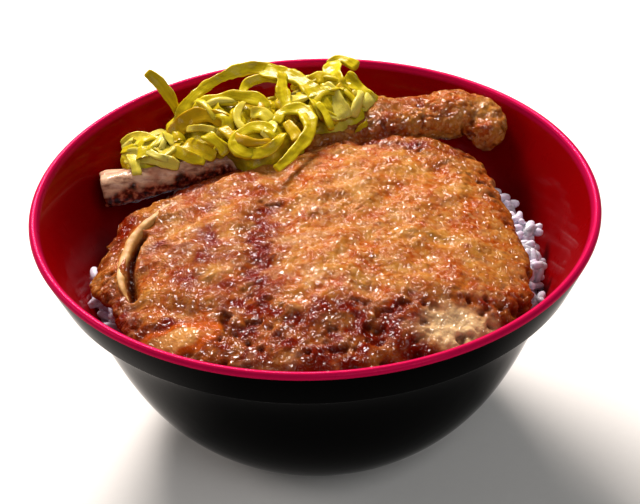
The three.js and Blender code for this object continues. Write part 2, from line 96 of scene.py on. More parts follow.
SLIT = [(-54.5, -9, 75), (-56.6, -15.5, 74.5), (-57.3, -21.5, 74), (-57.2, -28, 73), (-55.8, -36, 71.5)]
FAT_BAND = [
    (-46, 5, 78.5), (-50.3, 0, 77.4), (-56.8, -8, 75.2), (-59, -14, 74), (-60.2, -21, 73),
    (-60.2, -28, 72.2), (-57.3, -36.6, 70.4),
]
BONE = [(-71, 28, 70), (-58, 30, 71), (-45, 32, 73), (-32, 34, 74.5), (-20, 35, 75.5), (-12, 35, 75.8)]

# Spines of the mustard strips that can be told apart, with their width as a share of a plain strip's and
# their tone from amber 0 to milky 1.
STRIPS = [
    ([(-45, 55.5, 80), (-48.4, 56.6, 89), (-52.1, 57.8, 94), (-56.1, 59.7, 97)], 0.55, 0.3),
    ([(-46.6, 49.1, 81), (-40.8, 55.7, 88), (-32.6, 63.3, 90.5), (-20.8, 69.2, 91.5), (-9.6, 66, 92)
     ], 0.72, 0.45),
    ([(-16.6, 67.4, 91.5), (-4.5, 59.2, 92), (3.1, 45.6, 90), (4.9, 41.5, 86.5)], 0.95, 0.4),
    ([(-10, 62.5, 93), (-9.7, 52.6, 92), (-8, 43.5, 89.4)], 0.75, 0.5),
    ([(-40, 46.6, 85), (-36.2, 51.3, 88), (-27, 53, 89.8), (-18, 50.1, 89.5), (-14.3, 46.3, 88)
     ], 0.75, 0.6),
    ([(-48.2, 40.4, 80), (-45.3, 43.3, 84), (-40.5, 45.4, 86.5), (-34.3, 44.6, 87.5), (-27.5, 41, 87)
     ], 0.85, 0.05),
    ([(-16.1, 26.9, 83.5), (-22, 24.6, 84), (-25.3, 28, 85), (-23.6, 32.3, 87), (-19.2, 34.8, 88),
      (-14.6, 33.2, 88), (-11.7, 29.7, 86.5)], 0.68, 0.5),
    ([(-11.6, 36.9, 88), (-9.5, 42.3, 89), (-3.5, 42.5, 89.5), (-0.6, 31.4, 88.5), (-7.4, 18.9, 86),
      (-12.4, 12.5, 85.3)], 0.7, 0.55),
    ([(6.1, 72, 90), (10.8, 73.2, 91.5), (16.6, 69.8, 90)], 0.7, 0.4),
    ([(8.7, 72.9, 91), (8.4, 63.6, 91), (10.8, 55.5, 89.5), (14.1, 51.2, 87.5)], 1, 0.6),
    ([(12.2, 63.5, 90.5), (15.8, 58.3, 88.5), (19.7, 54.6, 86.5), (22.8, 54.2, 85)], 0.95, 0.45),
    ([(4, 54.8, 91), (6.6, 50.1, 90), (8.4, 45.3, 88), (10.3, 41.5, 85.5)], 1.1, 0.9),
    ([(-64.9, 42.2, 78), (-59.2, 41.8, 80), (-53, 37.1, 81), (-46.9, 30.3, 81)], 1, 0.7),
    ([(-63.2, 36.1, 77.5), (-57.4, 33.6, 79), (-51, 29.9, 79.5), (-44.3, 27.1, 79)], 0.8, 0.85),
    ([(-61.1, 34.5, 79.3), (-59.3, 29.5, 78.3), (-58.6, 25.7, 76.3)], 0.65, 0.8),
]
# Heaps of chopped leaf under the strips, with their centre and radii, and the share of the loose strips
# that lies on each.
MOUNDS = [
    ((-28, 50, 74), (24, 19, 14)), ((4, 54, 77), (20, 16, 13.5)), ((-51, 38, 73), (15, 11, 8.5)),
    ((-17, 36, 78), (14, 12, 9.5)),
]
MOUND_SHARES = (0.38, 0.36, 0.22, 0.04)
# Thinner strips between those, with their width in mm and their tone.
CURLS = [
    ([(-24.3, 56.8, 87.5), (-21.9, 63, 89), (-16.7, 65.1, 90), (-10.4, 62.3, 90.5)], 3.6, 0.35),
    ([(-22.7, 49.7, 89.5), (-25, 44, 89), (-24.7, 39.1, 88), (-22, 34.7, 87)], 2.4, 0.8),
    ([(-20.7, 23.9, 83.5), (-16, 24.2, 85), (-12, 26.5, 86.5), (-9.3, 31.9, 87)], 4, 0.3),
    ([(2.1, 44.7, 91), (4.9, 39.2, 89), (6.4, 34.4, 86)], 2.4, 0.5),
    ([(0.6, 60.5, 89.5), (3.5, 61.1, 91), (6.2, 59.9, 90)], 5, 0.25),
    ([(13.6, 54.8, 89), (17.5, 51.5, 86), (20.2, 50.3, 85)], 3.6, 0.85),
    ([(9.6, 57.1, 91), (13.4, 52.1, 89), (15.3, 48.1, 86.5)], 3.2, 0.15),
    ([(-43.2, 37.4, 81.4), (-37.6, 31.9, 82), (-32.2, 28.1, 81)], 5.4, 0.2),
    ([(-35.8, 35.6, 85.5), (-31.3, 31, 85), (-28.1, 28, 82)], 4.2, 0.55),
    ([(-46.4, 33.3, 81.5), (-40.9, 29.3, 81), (-35.6, 27.6, 79.5)], 4, 0.3),
    ([(-42.3, 39.3, 85.5), (-37.4, 37.8, 87), (-32, 35.4, 87)], 3, 0.75),
    ([(-30.1, 37.2, 87), (-26.6, 32.2, 86), (-24.7, 28.5, 83.5)], 3.4, 0.2),
    ([(-20.6, 43.7, 89), (-16.6, 42.1, 89), (-13.3, 38.3, 88)], 3.6, 0.7),
    ([(-8.5, 37.1, 88.5), (-6, 32.1, 87.5), (-4.7, 27.3, 86.5)], 4.2, 0.15),
    ([(-56.6, 34.8, 81), (-52.3, 30.7, 81), (-47.5, 28.7, 80.5)], 3, 0.95),
    ([(-64.7, 39.8, 77.5), (-61.6, 37.6, 79.5), (-57.7, 36.3, 80.5)], 3.4, 0.5),
]


# ---- arithmetic on whole arrays --------------------------------------------------------------------


def linear(code):
    """Linear red, green and blue of an sRGB hex value."""
    parts = [int(code[n : n + 2], 16) / 255 for n in (1, 3, 5)]
    return tuple(c / 12.92 if c <= 0.04045 else ((c + 0.055) / 1.055) ** 2.4 for c in parts)


def mix(a, b, t):
    return a + (b - a) * t


def smooth(t):
    """The smooth step: 3 t squared less 2 t cubed, level at both ends."""
    t = np.clip(t, 0, 1)
    return t * t * (3 - 2 * t)


def unit(v):
    return v / np.maximum(np.linalg.norm(v, axis=-1, keepdims=True), 1e-12)


def round_ends(t, power):
    """1 in the middle of a swept piece and 0 at both ends: the root of 1 less |2t - 1| to the power."""
    return np.sqrt(np.clip(1 - np.abs(2 * t - 1) ** power, 0, 1))


def lattice(i, j, k, seed):
    """A repeatable number from 0 to 1 for each whole-number place: its counts times large primes, with
    their bits mixed."""
    h = seed * 1274126177 % 2**32
    for count, prime in zip((i, j, k), (374761393, 668265263, 2246822519)):
        h = h ^ (np.asarray(count).astype(np.int64) * prime) % 2**32
    h = (h ^ (h >> 13)) * 1103515245 % 2**32
    return ((h ^ (h >> 16)) >> 8) / 16777216.0


def noise(x, y, z, seed):
    """Value noise from -1 to 1: the lattice numbers at the eight corners round a point, blended along
    each axis by the smooth step. The seed picks one of many such patterns."""
    axes = np.broadcast_arrays(*(np.asarray(v, float) for v in (x, y, z)))
    low = [np.floor(v) for v in axes]
    part = [smooth(v - f) for v, f in zip(axes, low)]
    total = 0.0
    for corner in itertools.product((0, 1), repeat=3):
        share = 1.0
        for side, p in zip(corner, part):
            share = share * (p if side else 1 - p)
        total = total + share * lattice(*(f + side for f, side in zip(low, corner)), seed)
    return 2 * total - 1


def rough(points, size, seed, octaves):
    """Noise of the given lump size plus half of it at half the size, and so on."""
    total = 0.0
    for n in range(octaves):
        x, y, z = np.moveaxis(points * (2**n / size), -1, 0)
        total = total + noise(x, y, z, seed + n) / 2**n
    return total


def pebbles(points, size, seed):
    """Distance from each point to the nearest of one scattered point in each cell of a cubic lattice,
    counted in cells, and that cell's own tone from 0 to 1."""
    scaled = points / size
    home = np.floor(scaled)
    best = np.full(scaled.shape[:-1], 9.0)
    tone = np.zeros(scaled.shape[:-1])
    for step in itertools.product((-1, 0, 1), repeat=3):
        cell = home + step
        at = np.moveaxis(cell, -1, 0)
        centre = cell + np.stack([lattice(*at, seed + n) for n in range(3)], -1)
        reach = np.linalg.norm(scaled - centre, axis=-1)
        nearer = reach < best
        best = np.where(nearer, reach, best)
        tone = np.where(nearer, lattice(*at, seed + 3), tone)
    return best, tone


def curve_through(points, shares, closed=False):
    """Points at shares of the length of a centripetal Catmull-Rom curve: a cubic between each two given
    points, its end slopes taken from three neighbours weighted by the root of their distances."""
    given = np.asarray(points, float)
    if closed:
        p0, p1, p2, p3 = (np.roll(given, n, 0) for n in (1, 0, -1, -2))
    else:
        more = np.vstack([2 * given[0] - given[1], given, 2 * given[-1] - given[-2]])
        p0, p1, p2, p3 = more[:-3], more[1:-2], more[2:-1], more[3:]
    d0, d1, d2 = (np.sqrt(np.linalg.norm(v, axis=1, keepdims=True)) for v in (p1 - p0, p2 - p1, p3 - p2))
    s1 = d1 * ((p1 - p0) / d0 - (p2 - p0) / (d0 + d1) + (p2 - p1) / d1)
    s2 = d1 * ((p2 - p1) / d1 - (p3 - p1) / (d1 + d2) + (p3 - p2) / d2)
    t = np.linspace(0, 1, 48, endpoint=False)[None, :, None]
    square, cube = 3 * (p2 - p1) - 2 * s1 - s2, 2 * (p1 - p2) + s1 + s2
    dense = p1[:, None] + t * (s1[:, None] + t * (square[:, None] + t * cube[:, None]))
    dense = np.vstack([dense.reshape(-1, given.shape[1]), given[:1] if closed else given[-1:]])
    along = np.concatenate([[0], np.cumsum(np.linalg.norm(np.diff(dense, axis=0), axis=1))])
    at = np.asarray(shares) * along[-1]
    return np.stack([np.interp(at, along, axis) for axis in dense.T], -1)


def distance_to_line(x, y, line):
    """Least distance in plan from each point to the straight pieces of a line."""
    best = np.full(np.shape(x), 1e9)
    for (ax, ay, *_), (bx, by, *_) in zip(line[:-1], line[1:]):
        t = np.clip(((x - ax) * (bx - ax) + (y - ay) * (by - ay)) / ((bx - ax) ** 2 + (by - ay) ** 2), 0, 1)
        best = np.minimum(best, np.hypot(x - mix(ax, bx, t), y - mix(ay, by, t)))
    return best


def inside(outline, x, y):
    """Whether each point lies in a closed outline, by the count of its edges to the right being odd."""
    odd = np.zeros(np.shape(x), bool)
    for (ax, ay), (bx, by) in zip(outline, np.roll(outline, -1, 0)):
        if ay != by:
            odd ^= ((ay > y) != (by > y)) & (x < ax + (y - ay) * (bx - ax) / (by - ay))
    return odd


def spot(x, y, centre, radii):
    """1 at a centre, falling smoothly to 0 at an oval of the given radii."""
    return smooth(1 - np.hypot((x - centre[0]) / radii[0], (y - centre[1]) / radii[1]))


# ---- closed skins ----------------------------------------------------------------------------------


def outward(rings, first, last):
    """Outward directions of a closed grid: the step round a ring crossed with the step to the next."""
    poles = [np.broadcast_to(p, rings[:1].shape) for p in (first, last)]
    rows = np.concatenate([poles[0], rings, poles[1]])
    return unit(np.cross(np.roll(rings, -1, 1) - np.roll(rings, 1, 1), rows[2:] - rows[:-2]))


def loft(rings, first, last, **values):
    """A closed skin: quads between neighbouring rings, which turn right-handed about the way from the
    first pole to the last, and a fan of triangles at each pole."""
    rows, sides = rings.shape[:2]
    points = np.vstack([first, rings.reshape(-1, 3), last])
    here = 1 + np.arange(rows * sides).reshape(rows, sides)
    turned = np.roll(here, -1, 1)
    quads = np.stack([here[:-1], turned[:-1], turned[1:], here[1:]], -1).reshape(-1, 4)
    start, end = np.zeros(sides, int), np.full(sides, len(points) - 1)
    fans = np.vstack([np.stack([start, turned[0], here[0]], -1), np.stack([end, here[-1], turned[-1]], -1)])
    spread = {}
    for name, value in values.items():
        grid = np.broadcast_to(value, (rows, sides))
        spread[name] = np.concatenate([[grid[0].mean()], grid.ravel(), [grid[-1].mean()]])
    return points, quads, fans, spread


def sweep(spine, t, half_width, half_thickness, sides, face=(0, 0, 1), roll=0.0, power=2.0, cup=0.0,
          ruffle=0.0, seed=0):
    """A superellipse section carried along a curve, at the shares t of its length. Its flat side looks
    along face as nearly as the curve allows and is then turned by roll; cup lifts both edges and ruffle
    waves them. Returns rings and poles."""
    centre = curve_through(spine, t)
    before, after = (curve_through(spine, np.clip(t + step, 0, 1)) for step in (-0.004, 0.004))
    along = unit(after - before)
    face = np.broadcast_to(np.asarray(face, float), along.shape)
    upright = unit(face - along * (face * along).sum(1, keepdims=True))
    level = np.cross(upright, along)
    turn = np.broadcast_to(roll, t.shape)[:, None]
    wide = level * np.cos(turn) + upright * np.sin(turn)
    thick = upright * np.cos(turn) - level * np.sin(turn)
    a = 2 * math.pi * np.arange(sides) / sides
    across = np.sign(np.cos(a)) * np.abs(np.cos(a)) ** (2 / power)
    through = np.sign(np.sin(a)) * np.abs(np.sin(a)) ** (2 / power)
    w = np.broadcast_to(half_width, t.shape)[:, None]
    h = np.broadcast_to(half_thickness, t.shape)[:, None]
    wave = noise(t[:, None] * 9, across[None, :] * 0.8, seed * 1.7, 91)
    lift = w * cup * across**2 + ruffle * np.abs(across) * wave
    rings = centre[:, None] + wide[:, None] * (w * across)[..., None]
    rings = rings + thick[:, None] * (h * through + lift)[..., None]
    ends = [centre[n] + thick[n] * lift[n].mean() for n in (0, -1)]
    return rings, ends[0], ends[1]


def copies(solid, turns, sizes, places):
    """One joined solid of many copies of a small one, each scaled along its own axes, turned and
    moved."""
    points, quads, fans, values = solid
    moved = np.einsum("nij,npj->npi", turns, points[None] * sizes[:, None]) + places[:, None]
    shift = len(points) * np.arange(len(places))[:, None, None]
    return moved.reshape(-1, 3), (quads + shift).reshape(-1, 4), (fans + shift).reshape(-1, 3), values


def facing(normals, spins):
    """Turns that stand each copy's z axis along a direction and spin it about that by an angle."""
    askew = np.array([0.31, 0.95, 0.02])  # a direction that no copy points in
    side = unit(np.cross(normals, askew))
    other = np.cross(normals, side)
    x = side * np.cos(spins)[:, None] + other * np.sin(spins)[:, None]
    return np.stack([x, np.cross(normals, x), normals], -1)


def blob(sides, rows, power):
    """A rounded lump of radius 1: rings of a superellipse from the lower pole to the upper."""
    u = -np.cos(math.pi * (np.arange(rows) + 1) / (rows + 1))
    r = (1 - np.abs(u) ** power) ** (1 / power)
    a = 2 * math.pi * np.arange(sides) / sides
    ring = np.stack([np.cos(a), np.sin(a)], -1)
    high = np.broadcast_to(u[:, None, None], (rows, sides, 1))
    rings = np.concatenate([r[:, None, None] * ring[None], high], -1)
    return loft(rings, np.array([0, 0, -1.0]), np.array([0, 0, 1.0]))


def new_piece(name, solids, materials, replaced, second_from=None):
    """One object from closed skins, in metres, with their values as point attributes. From quad
    second_from on, and round its last pole, it takes the second material."""
    mesh = bpy.data.meshes.new(name)
    counts = np.cumsum([0] + [len(s[0]) for s in solids])
    points = np.concatenate([s[0] for s in solids]) * MM
    quads = np.concatenate([s[1] + n for s, n in zip(solids, counts)])
    fans = np.concatenate([s[2] + n for s, n in zip(solids, counts)])
    mesh.vertices.add(len(points))
    mesh.vertices.foreach_set("co", points.astype(np.float32).ravel())
    corners = np.concatenate([quads.ravel(), fans.ravel()])
    sizes = np.concatenate([np.full(len(quads), 4), np.full(len(fans), 3)])
    mesh.loops.add(len(corners))
    mesh.loops.foreach_set("vertex_index", corners.astype(np.int32))
    mesh.polygons.add(len(sizes))
    mesh.polygons.foreach_set("loop_start", np.concatenate([[0], np.cumsum(sizes)[:-1]]).astype(np.int32))
    mesh.polygons.foreach_set("use_smooth", np.ones(len(sizes), bool))
    if second_from is not None:
        second = [np.arange(len(quads)) >= second_from, np.arange(len(fans)) >= len(fans) // 2]
        mesh.polygons.foreach_set("material_index", np.concatenate(second).astype(np.int32))
    for key in solids[0][3]:
        value = np.concatenate([s[3][key] for s in solids])
        mesh.attributes.new(key, "FLOAT", "POINT").data.foreach_set("value", value.astype(np.float32))
    mesh.update(calc_edges=True)
    if mesh.validate():
        raise ValueError(f"{name} has faces that Blender had to mend")
    piece = bpy.data.objects.new(name, mesh)
    bpy.context.scene.collection.objects.link(piece)
    for material in materials:
        mesh.materials.append(material)
    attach(piece, "root")
    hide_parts(replaced)
    return piece


# ---- materials -------------------------------------------------------------------------------------


def add(tree, kind, inputs=None, out=0, stops=None, **settings):
    """Adds one node and returns one of its outputs. An input is a value, or another node's output."""
    node = tree.nodes.new(kind)
    for key, value in settings.items():
        setattr(node, key, value)
    for key, value in (inputs or {}).items():
        if isinstance(value, bpy.types.NodeSocket):
            tree.links.new(value, node.inputs[key])
        else:
            node.inputs[key].default_value = value
    for n, (place, colour) in enumerate(stops or []):
        ramp = node.color_ramp.elements
        stop = ramp[n] if n < len(ramp) else ramp.new(place)
        stop.position, stop.color = place, colour
    return node.outputs[out]


def shade(code):
    return (*linear(code), 1.0)


def per_mm(size):
    """Scale of a texture on Object coordinates, which are in metres, for features of a size in mm."""
    return 1 / (size * MM)


def surface(name, **values):
    """A new material with its shader, and the values that are the same all over the surface."""
    material = bpy.data.materials.new(name)
    material.use_nodes = True
    tree = material.node_tree
    shader = tree.nodes["Principled BSDF"]
    for key, value in values.items():
        shader.inputs[key.replace("_", " ")].default_value = value
    return material, tree, shader


LIP_COAT_Z = (81.5, 82.6)  # heights where the painted highlight on the lip starts and is full


def lacquer(name, colour, film, density, flake, roughness, lip=None):
    """Urethane lacquer, sprayed on a moulded body and baked: deep even colour with a share of pearl
    flake, under a mirror-smooth film whose slight waviness bends the reflections. Over the top of the lip
    the colour may turn to a painted highlight of its own, with a quarter of the film."""
    material, tree, shader = surface(
        name, Specular_IOR_Level=0.0, Coat_Weight=film, Coat_Roughness=0.05, Coat_IOR=density, Metallic=flake,
    )
    place = add(tree, "ShaderNodeTexCoord", out="Object")
    wave = add(tree, "ShaderNodeTexNoise", {"Vector": place, "Scale": per_mm(14), "Detail": 2.0})
    bump = add(tree, "ShaderNodeBump", {"Height": wave, "Strength": 0.12, "Distance": 0.5 * MM})
    haze = add(tree, "ShaderNodeTexNoise", {"Vector": place, "Scale": per_mm(6), "Detail": 4.0})
    rub = add(tree, "ShaderNodeMapRange", {"Value": haze, "From Min": 0.3, "From Max": 0.7,
                                           "To Min": roughness, "To Max": roughness * 1.5})
    tone = add(tree, "ShaderNodeMix", {0: haze, 6: (*colour, 1.0), 7: (*(c * 0.82 for c in colour), 1.0)},
               out=2, data_type="RGBA")
    # Over the top of the lip the colour turns to a painted highlight and the film thins to a quarter.
    if lip:
        high = add(tree, "ShaderNodeSeparateXYZ", {"Vector": place}, out="Z")
        near = add(tree, "ShaderNodeMapRange",
                   {"Value": high, "From Min": LIP_COAT_Z[0] * MM, "From Max": LIP_COAT_Z[1] * MM})
        tone = add(tree, "ShaderNodeMix", {0: near, 6: tone, 7: (*lip, 1.0)}, out=2, data_type="RGBA")
        thin = add(tree, "ShaderNodeMapRange", {"Value": near, "To Min": film, "To Max": film / 4})
        tree.links.new(thin, shader.inputs["Coat Weight"])
    tree.links.new(tone, shader.inputs["Base Color"])
    tree.links.new(rub, shader.inputs["Roughness"])
    tree.links.new(bump, shader.inputs["Normal"])
    tree.links.new(bump, shader.inputs["Coat Normal"])
    return material


def steamed_rice(colour):
    """Short-grain rice, steamed: plump translucent grains with a moist, slightly sticky skin."""
    material, tree, shader = surface(
        "Steamed short-grain rice", Roughness=0.34, Specular_IOR_Level=0.5, IOR=1.4,
        Subsurface_Weight=0.6, Subsurface_Radius=(1.0, 0.8, 0.9), Subsurface_Scale=1.6 * MM,
    )
    place = add(tree, "ShaderNodeTexCoord", out="Object")
    cloud = add(tree, "ShaderNodeTexNoise", {"Vector": place, "Scale": per_mm(2.4), "Detail": 3.0})
    tone = add(tree, "ShaderNodeMix", {0: cloud, 6: (*colour, 1.0), 7: (*(c * 0.86 for c in colour), 1.0)},
               out=2, data_type="RGBA")
    pit = add(tree, "ShaderNodeBump", {"Height": cloud, "Strength": 0.25, "Distance": 0.2 * MM})
    tree.links.new(tone, shader.inputs["Base Color"])
    tree.links.new(pit, shader.inputs["Normal"])
    return material


def fried_crust(settings):
    """Sweet potato starch crust, deep fried: granules of puffed starch under a film of oil and sauce,
    golden on top and red-brown where the sauce gathers. Along the front and the outer edge the sauce
    colour is partly painted shade, and painted shade darkens the hollows to nearly black in the deep gaps."""
    material, tree, shader = surface(
        "Deep-fried sweet potato starch crust", Specular_IOR_Level=0.0,
        Coat_Roughness=0.03, Coat_IOR=1.5,
        Subsurface_Weight=0.1, Subsurface_Radius=(1.0, 0.36, 0.12), Subsurface_Scale=1.2 * MM,
    )
    place = add(tree, "ShaderNodeTexCoord", out="Object")
    depth, wet, cream, fat = (add(tree, "ShaderNodeAttribute", out="Fac", attribute_name=name)
                              for name in ("depth", "wet", "cream", "fat"))
    patch = add(tree, "ShaderNodeTexNoise",
                {"Vector": place, "Scale": per_mm(9), "Detail": 4.0, "Roughness": 0.6})
    browned = add(tree, "ShaderNodeMapRange", {"Value": patch, "From Min": 0.38, "From Max": 0.64})
    body = add(tree, "ShaderNodeMix", {0: browned, 6: (*settings.golden, 1.0), 7: (*settings.orange, 1.0)},
               out=2, data_type="RGBA")
    # Single granules of 1.1 mm, each a little paler or redder than the next.
    grit = add(tree, "ShaderNodeTexVoronoi", {"Vector": place, "Scale": per_mm(1.1)}, out="Distance")
    own = add(tree, "ShaderNodeSeparateColor", {"Color": grit.node.outputs["Color"]}, out="Red")
    pale = add(tree, "ShaderNodeMapRange", {"Value": own, "From Min": 0.6, "From Max": 1.0, "To Max": 0.5})
    body = add(tree, "ShaderNodeMix", {0: pale, 6: body, 7: (*settings.pale, 1.0)}, out=2, data_type="RGBA")
    dark = add(tree, "ShaderNodeMapRange", {"Value": own, "From Min": 0.3, "From Max": 0.0, "To Max": 0.4})
    body = add(tree, "ShaderNodeMix", {0: dark, 6: body, 7: (*settings.sauce, 1.0)}, out=2, data_type="RGBA")
    # The sauce colour follows the wet share: sauce in the creases, and partly painted shade along the front
    # and the outer edge.
    body = add(tree, "ShaderNodeMix", {0: wet, 6: body, 7: (*settings.sauce, 1.0)}, out=2, data_type="RGBA")
    body = add(tree, "ShaderNodeMix", {0: cream, 6: body, 7: (*settings.cream, 1.0)}, out=2, data_type="RGBA")
    # The lobe of fat: amber at its edge and creamy in its middle.
    lobe = add(tree, "ShaderNodeMapRange", {"Value": fat, "From Min": 0.1, "From Max": 0.5})
    body = add(tree, "ShaderNodeMix", {0: lobe, 6: body, 7: (*settings.amber, 1.0)}, out=2, data_type="RGBA")
    core = add(tree, "ShaderNodeMapRange", {"Value": fat, "From Min": 0.8, "From Max": 1.0, "To Max": 0.8})
    body = add(tree, "ShaderNodeMix", {0: core, 6: body, 7: (*settings.fat, 1.0)}, out=2, data_type="RGBA")
    # Painted shade by depth: darker crust in the hollows, and nearly black in the deep gaps and the slit.
    sunk = add(tree, "ShaderNodeMapRange", {"Value": depth, "From Min": 0.45, "From Max": 0.8,
                                            "To Max": 0.85})
    body = add(tree, "ShaderNodeMix", {0: sunk, 6: body, 7: (*settings.burnt, 1.0)}, out=2, data_type="RGBA")
    gap = add(tree, "ShaderNodeMapRange", {"Value": depth, "From Min": 0.85, "From Max": 1.0, "To Max": 0.9})
    body = add(tree, "ShaderNodeMix", {0: gap, 6: body, 7: shade("#240200")}, out=2, data_type="RGBA")
    oil = add(tree, "ShaderNodeMapRange", {"Value": depth, "From Min": 0.5, "From Max": 0.9, "To Min": 0.55,
                                           "To Max": 0.15})
    # Granule edges on the body, and the wrinkles of the film of oil over them.
    edge = add(tree, "ShaderNodeBump", {"Height": grit, "Strength": 0.3, "Distance": 0.4 * MM}, invert=True)
    fine = add(tree, "ShaderNodeTexNoise",
               {"Vector": place, "Scale": per_mm(3.2), "Detail": 1.0, "Roughness": 0.4, "Distortion": 1.8})
    skin = add(tree, "ShaderNodeBump", {"Height": fine, "Strength": 0.25, "Distance": MM, "Normal": edge})
    film = add(tree, "ShaderNodeBump", {"Height": fine, "Strength": 1.0, "Distance": 2 * MM})
    gloss = add(tree, "ShaderNodeMapRange", {"Value": patch, "From Min": 0.35, "From Max": 0.65,
                                             "To Min": 0.5, "To Max": 0.3})
    tree.links.new(body, shader.inputs["Base Color"])
    tree.links.new(gloss, shader.inputs["Roughness"])
    tree.links.new(oil, shader.inputs["Coat Weight"])
    tree.links.new(skin, shader.inputs["Normal"])
    tree.links.new(film, shader.inputs["Coat Normal"])
    return material


def rendered_fat(colour):
    """Pork back fat, fried until it renders: smooth, waxy and translucent, tanned along its edges."""
    material, tree, shader = surface(
        "Rendered pork fat", Roughness=0.5, IOR=1.45, Specular_IOR_Level=0.3,
        Subsurface_Weight=0.35, Subsurface_Radius=(1.0, 0.6, 0.35), Subsurface_Scale=1.2 * MM,
    )
    place = add(tree, "ShaderNodeTexCoord", out="Object")
    cloud = add(tree, "ShaderNodeTexNoise", {"Vector": place, "Scale": per_mm(3.0), "Detail": 4.0})
    tone = add(tree, "ShaderNodeValToRGB", {"Fac": cloud}, stops=[
        (0.3, shade("#a8743e")), (0.5, (*colour, 1.0)), (0.75, shade("#d9b47c"))])
    bump = add(tree, "ShaderNodeBump", {"Height": cloud, "Strength": 0.4, "Distance": 0.4 * MM})
    tree.links.new(tone, shader.inputs["Base Color"])
    tree.links.new(bump, shader.inputs["Normal"])
    return material


def cooked_bone(colour):
    """Rib bone, fried with its film of meat: dry grey-brown with fibres along it, burnt and crusted
    underneath."""
    material, tree, shader = surface(
        "Fried rib bone", IOR=1.45, Specular_IOR_Level=0.12, Coat_Weight=0.2, Coat_Roughness=0.12,
        Subsurface_Weight=0.08, Subsurface_Radius=(1.0, 0.5, 0.3), Subsurface_Scale=1.0 * MM,
    )
    place = add(tree, "ShaderNodeTexCoord", out="Object")
    crust = add(tree, "ShaderNodeAttribute", out="Fac", attribute_name="depth")
    # Shreds of meat film 5 mm long and 2 mm apart, along the bone.
    grain = add(tree, "ShaderNodeMapping", {"Vector": place, "Rotation": (0, -0.1, -0.13),
                                            "Scale": (per_mm(5), per_mm(2), per_mm(2))})
    fibre = add(tree, "ShaderNodeTexNoise", {"Vector": grain, "Scale": 1.0, "Detail": 5.0, "Roughness": 0.6})
    blotch = add(tree, "ShaderNodeTexNoise", {"Vector": place, "Scale": per_mm(6), "Detail": 3.0})
    top = add(tree, "ShaderNodeValToRGB", {"Fac": fibre}, stops=[
        (0.32, shade("#845440")), (0.5, (*colour, 1.0)), (0.7, shade("#dcb898"))])
    stain = add(tree, "ShaderNodeMapRange",
                {"Value": blotch, "From Min": 0.52, "From Max": 0.7, "To Max": 0.6})
    top = add(tree, "ShaderNodeMix", {0: stain, 6: top, 7: shade("#96503a")}, out=2, data_type="RGBA")
    fine = add(tree, "ShaderNodeTexNoise", {"Vector": place, "Scale": per_mm(1.8), "Detail": 3.0})
    under = add(tree, "ShaderNodeValToRGB", {"Fac": fine}, stops=[
        (0.38, shade("#240603")), (0.52, shade("#641c10")), (0.66, shade("#a25a40"))])
    whole = add(tree, "ShaderNodeMix", {0: crust, 6: top, 7: under}, out=2, data_type="RGBA")
    ridge = add(tree, "ShaderNodeBump", {"Height": fibre, "Strength": 0.4, "Distance": 0.5 * MM})
    pit = add(tree, "ShaderNodeBump",
              {"Height": fine, "Strength": 0.5, "Distance": 0.6 * MM, "Normal": ridge})
    wet = add(tree, "ShaderNodeMapRange", {"Value": crust, "To Min": 0.5, "To Max": 0.2})
    tree.links.new(whole, shader.inputs["Base Color"])
    tree.links.new(wet, shader.inputs["Roughness"])
    tree.links.new(pit, shader.inputs["Normal"])
    return material


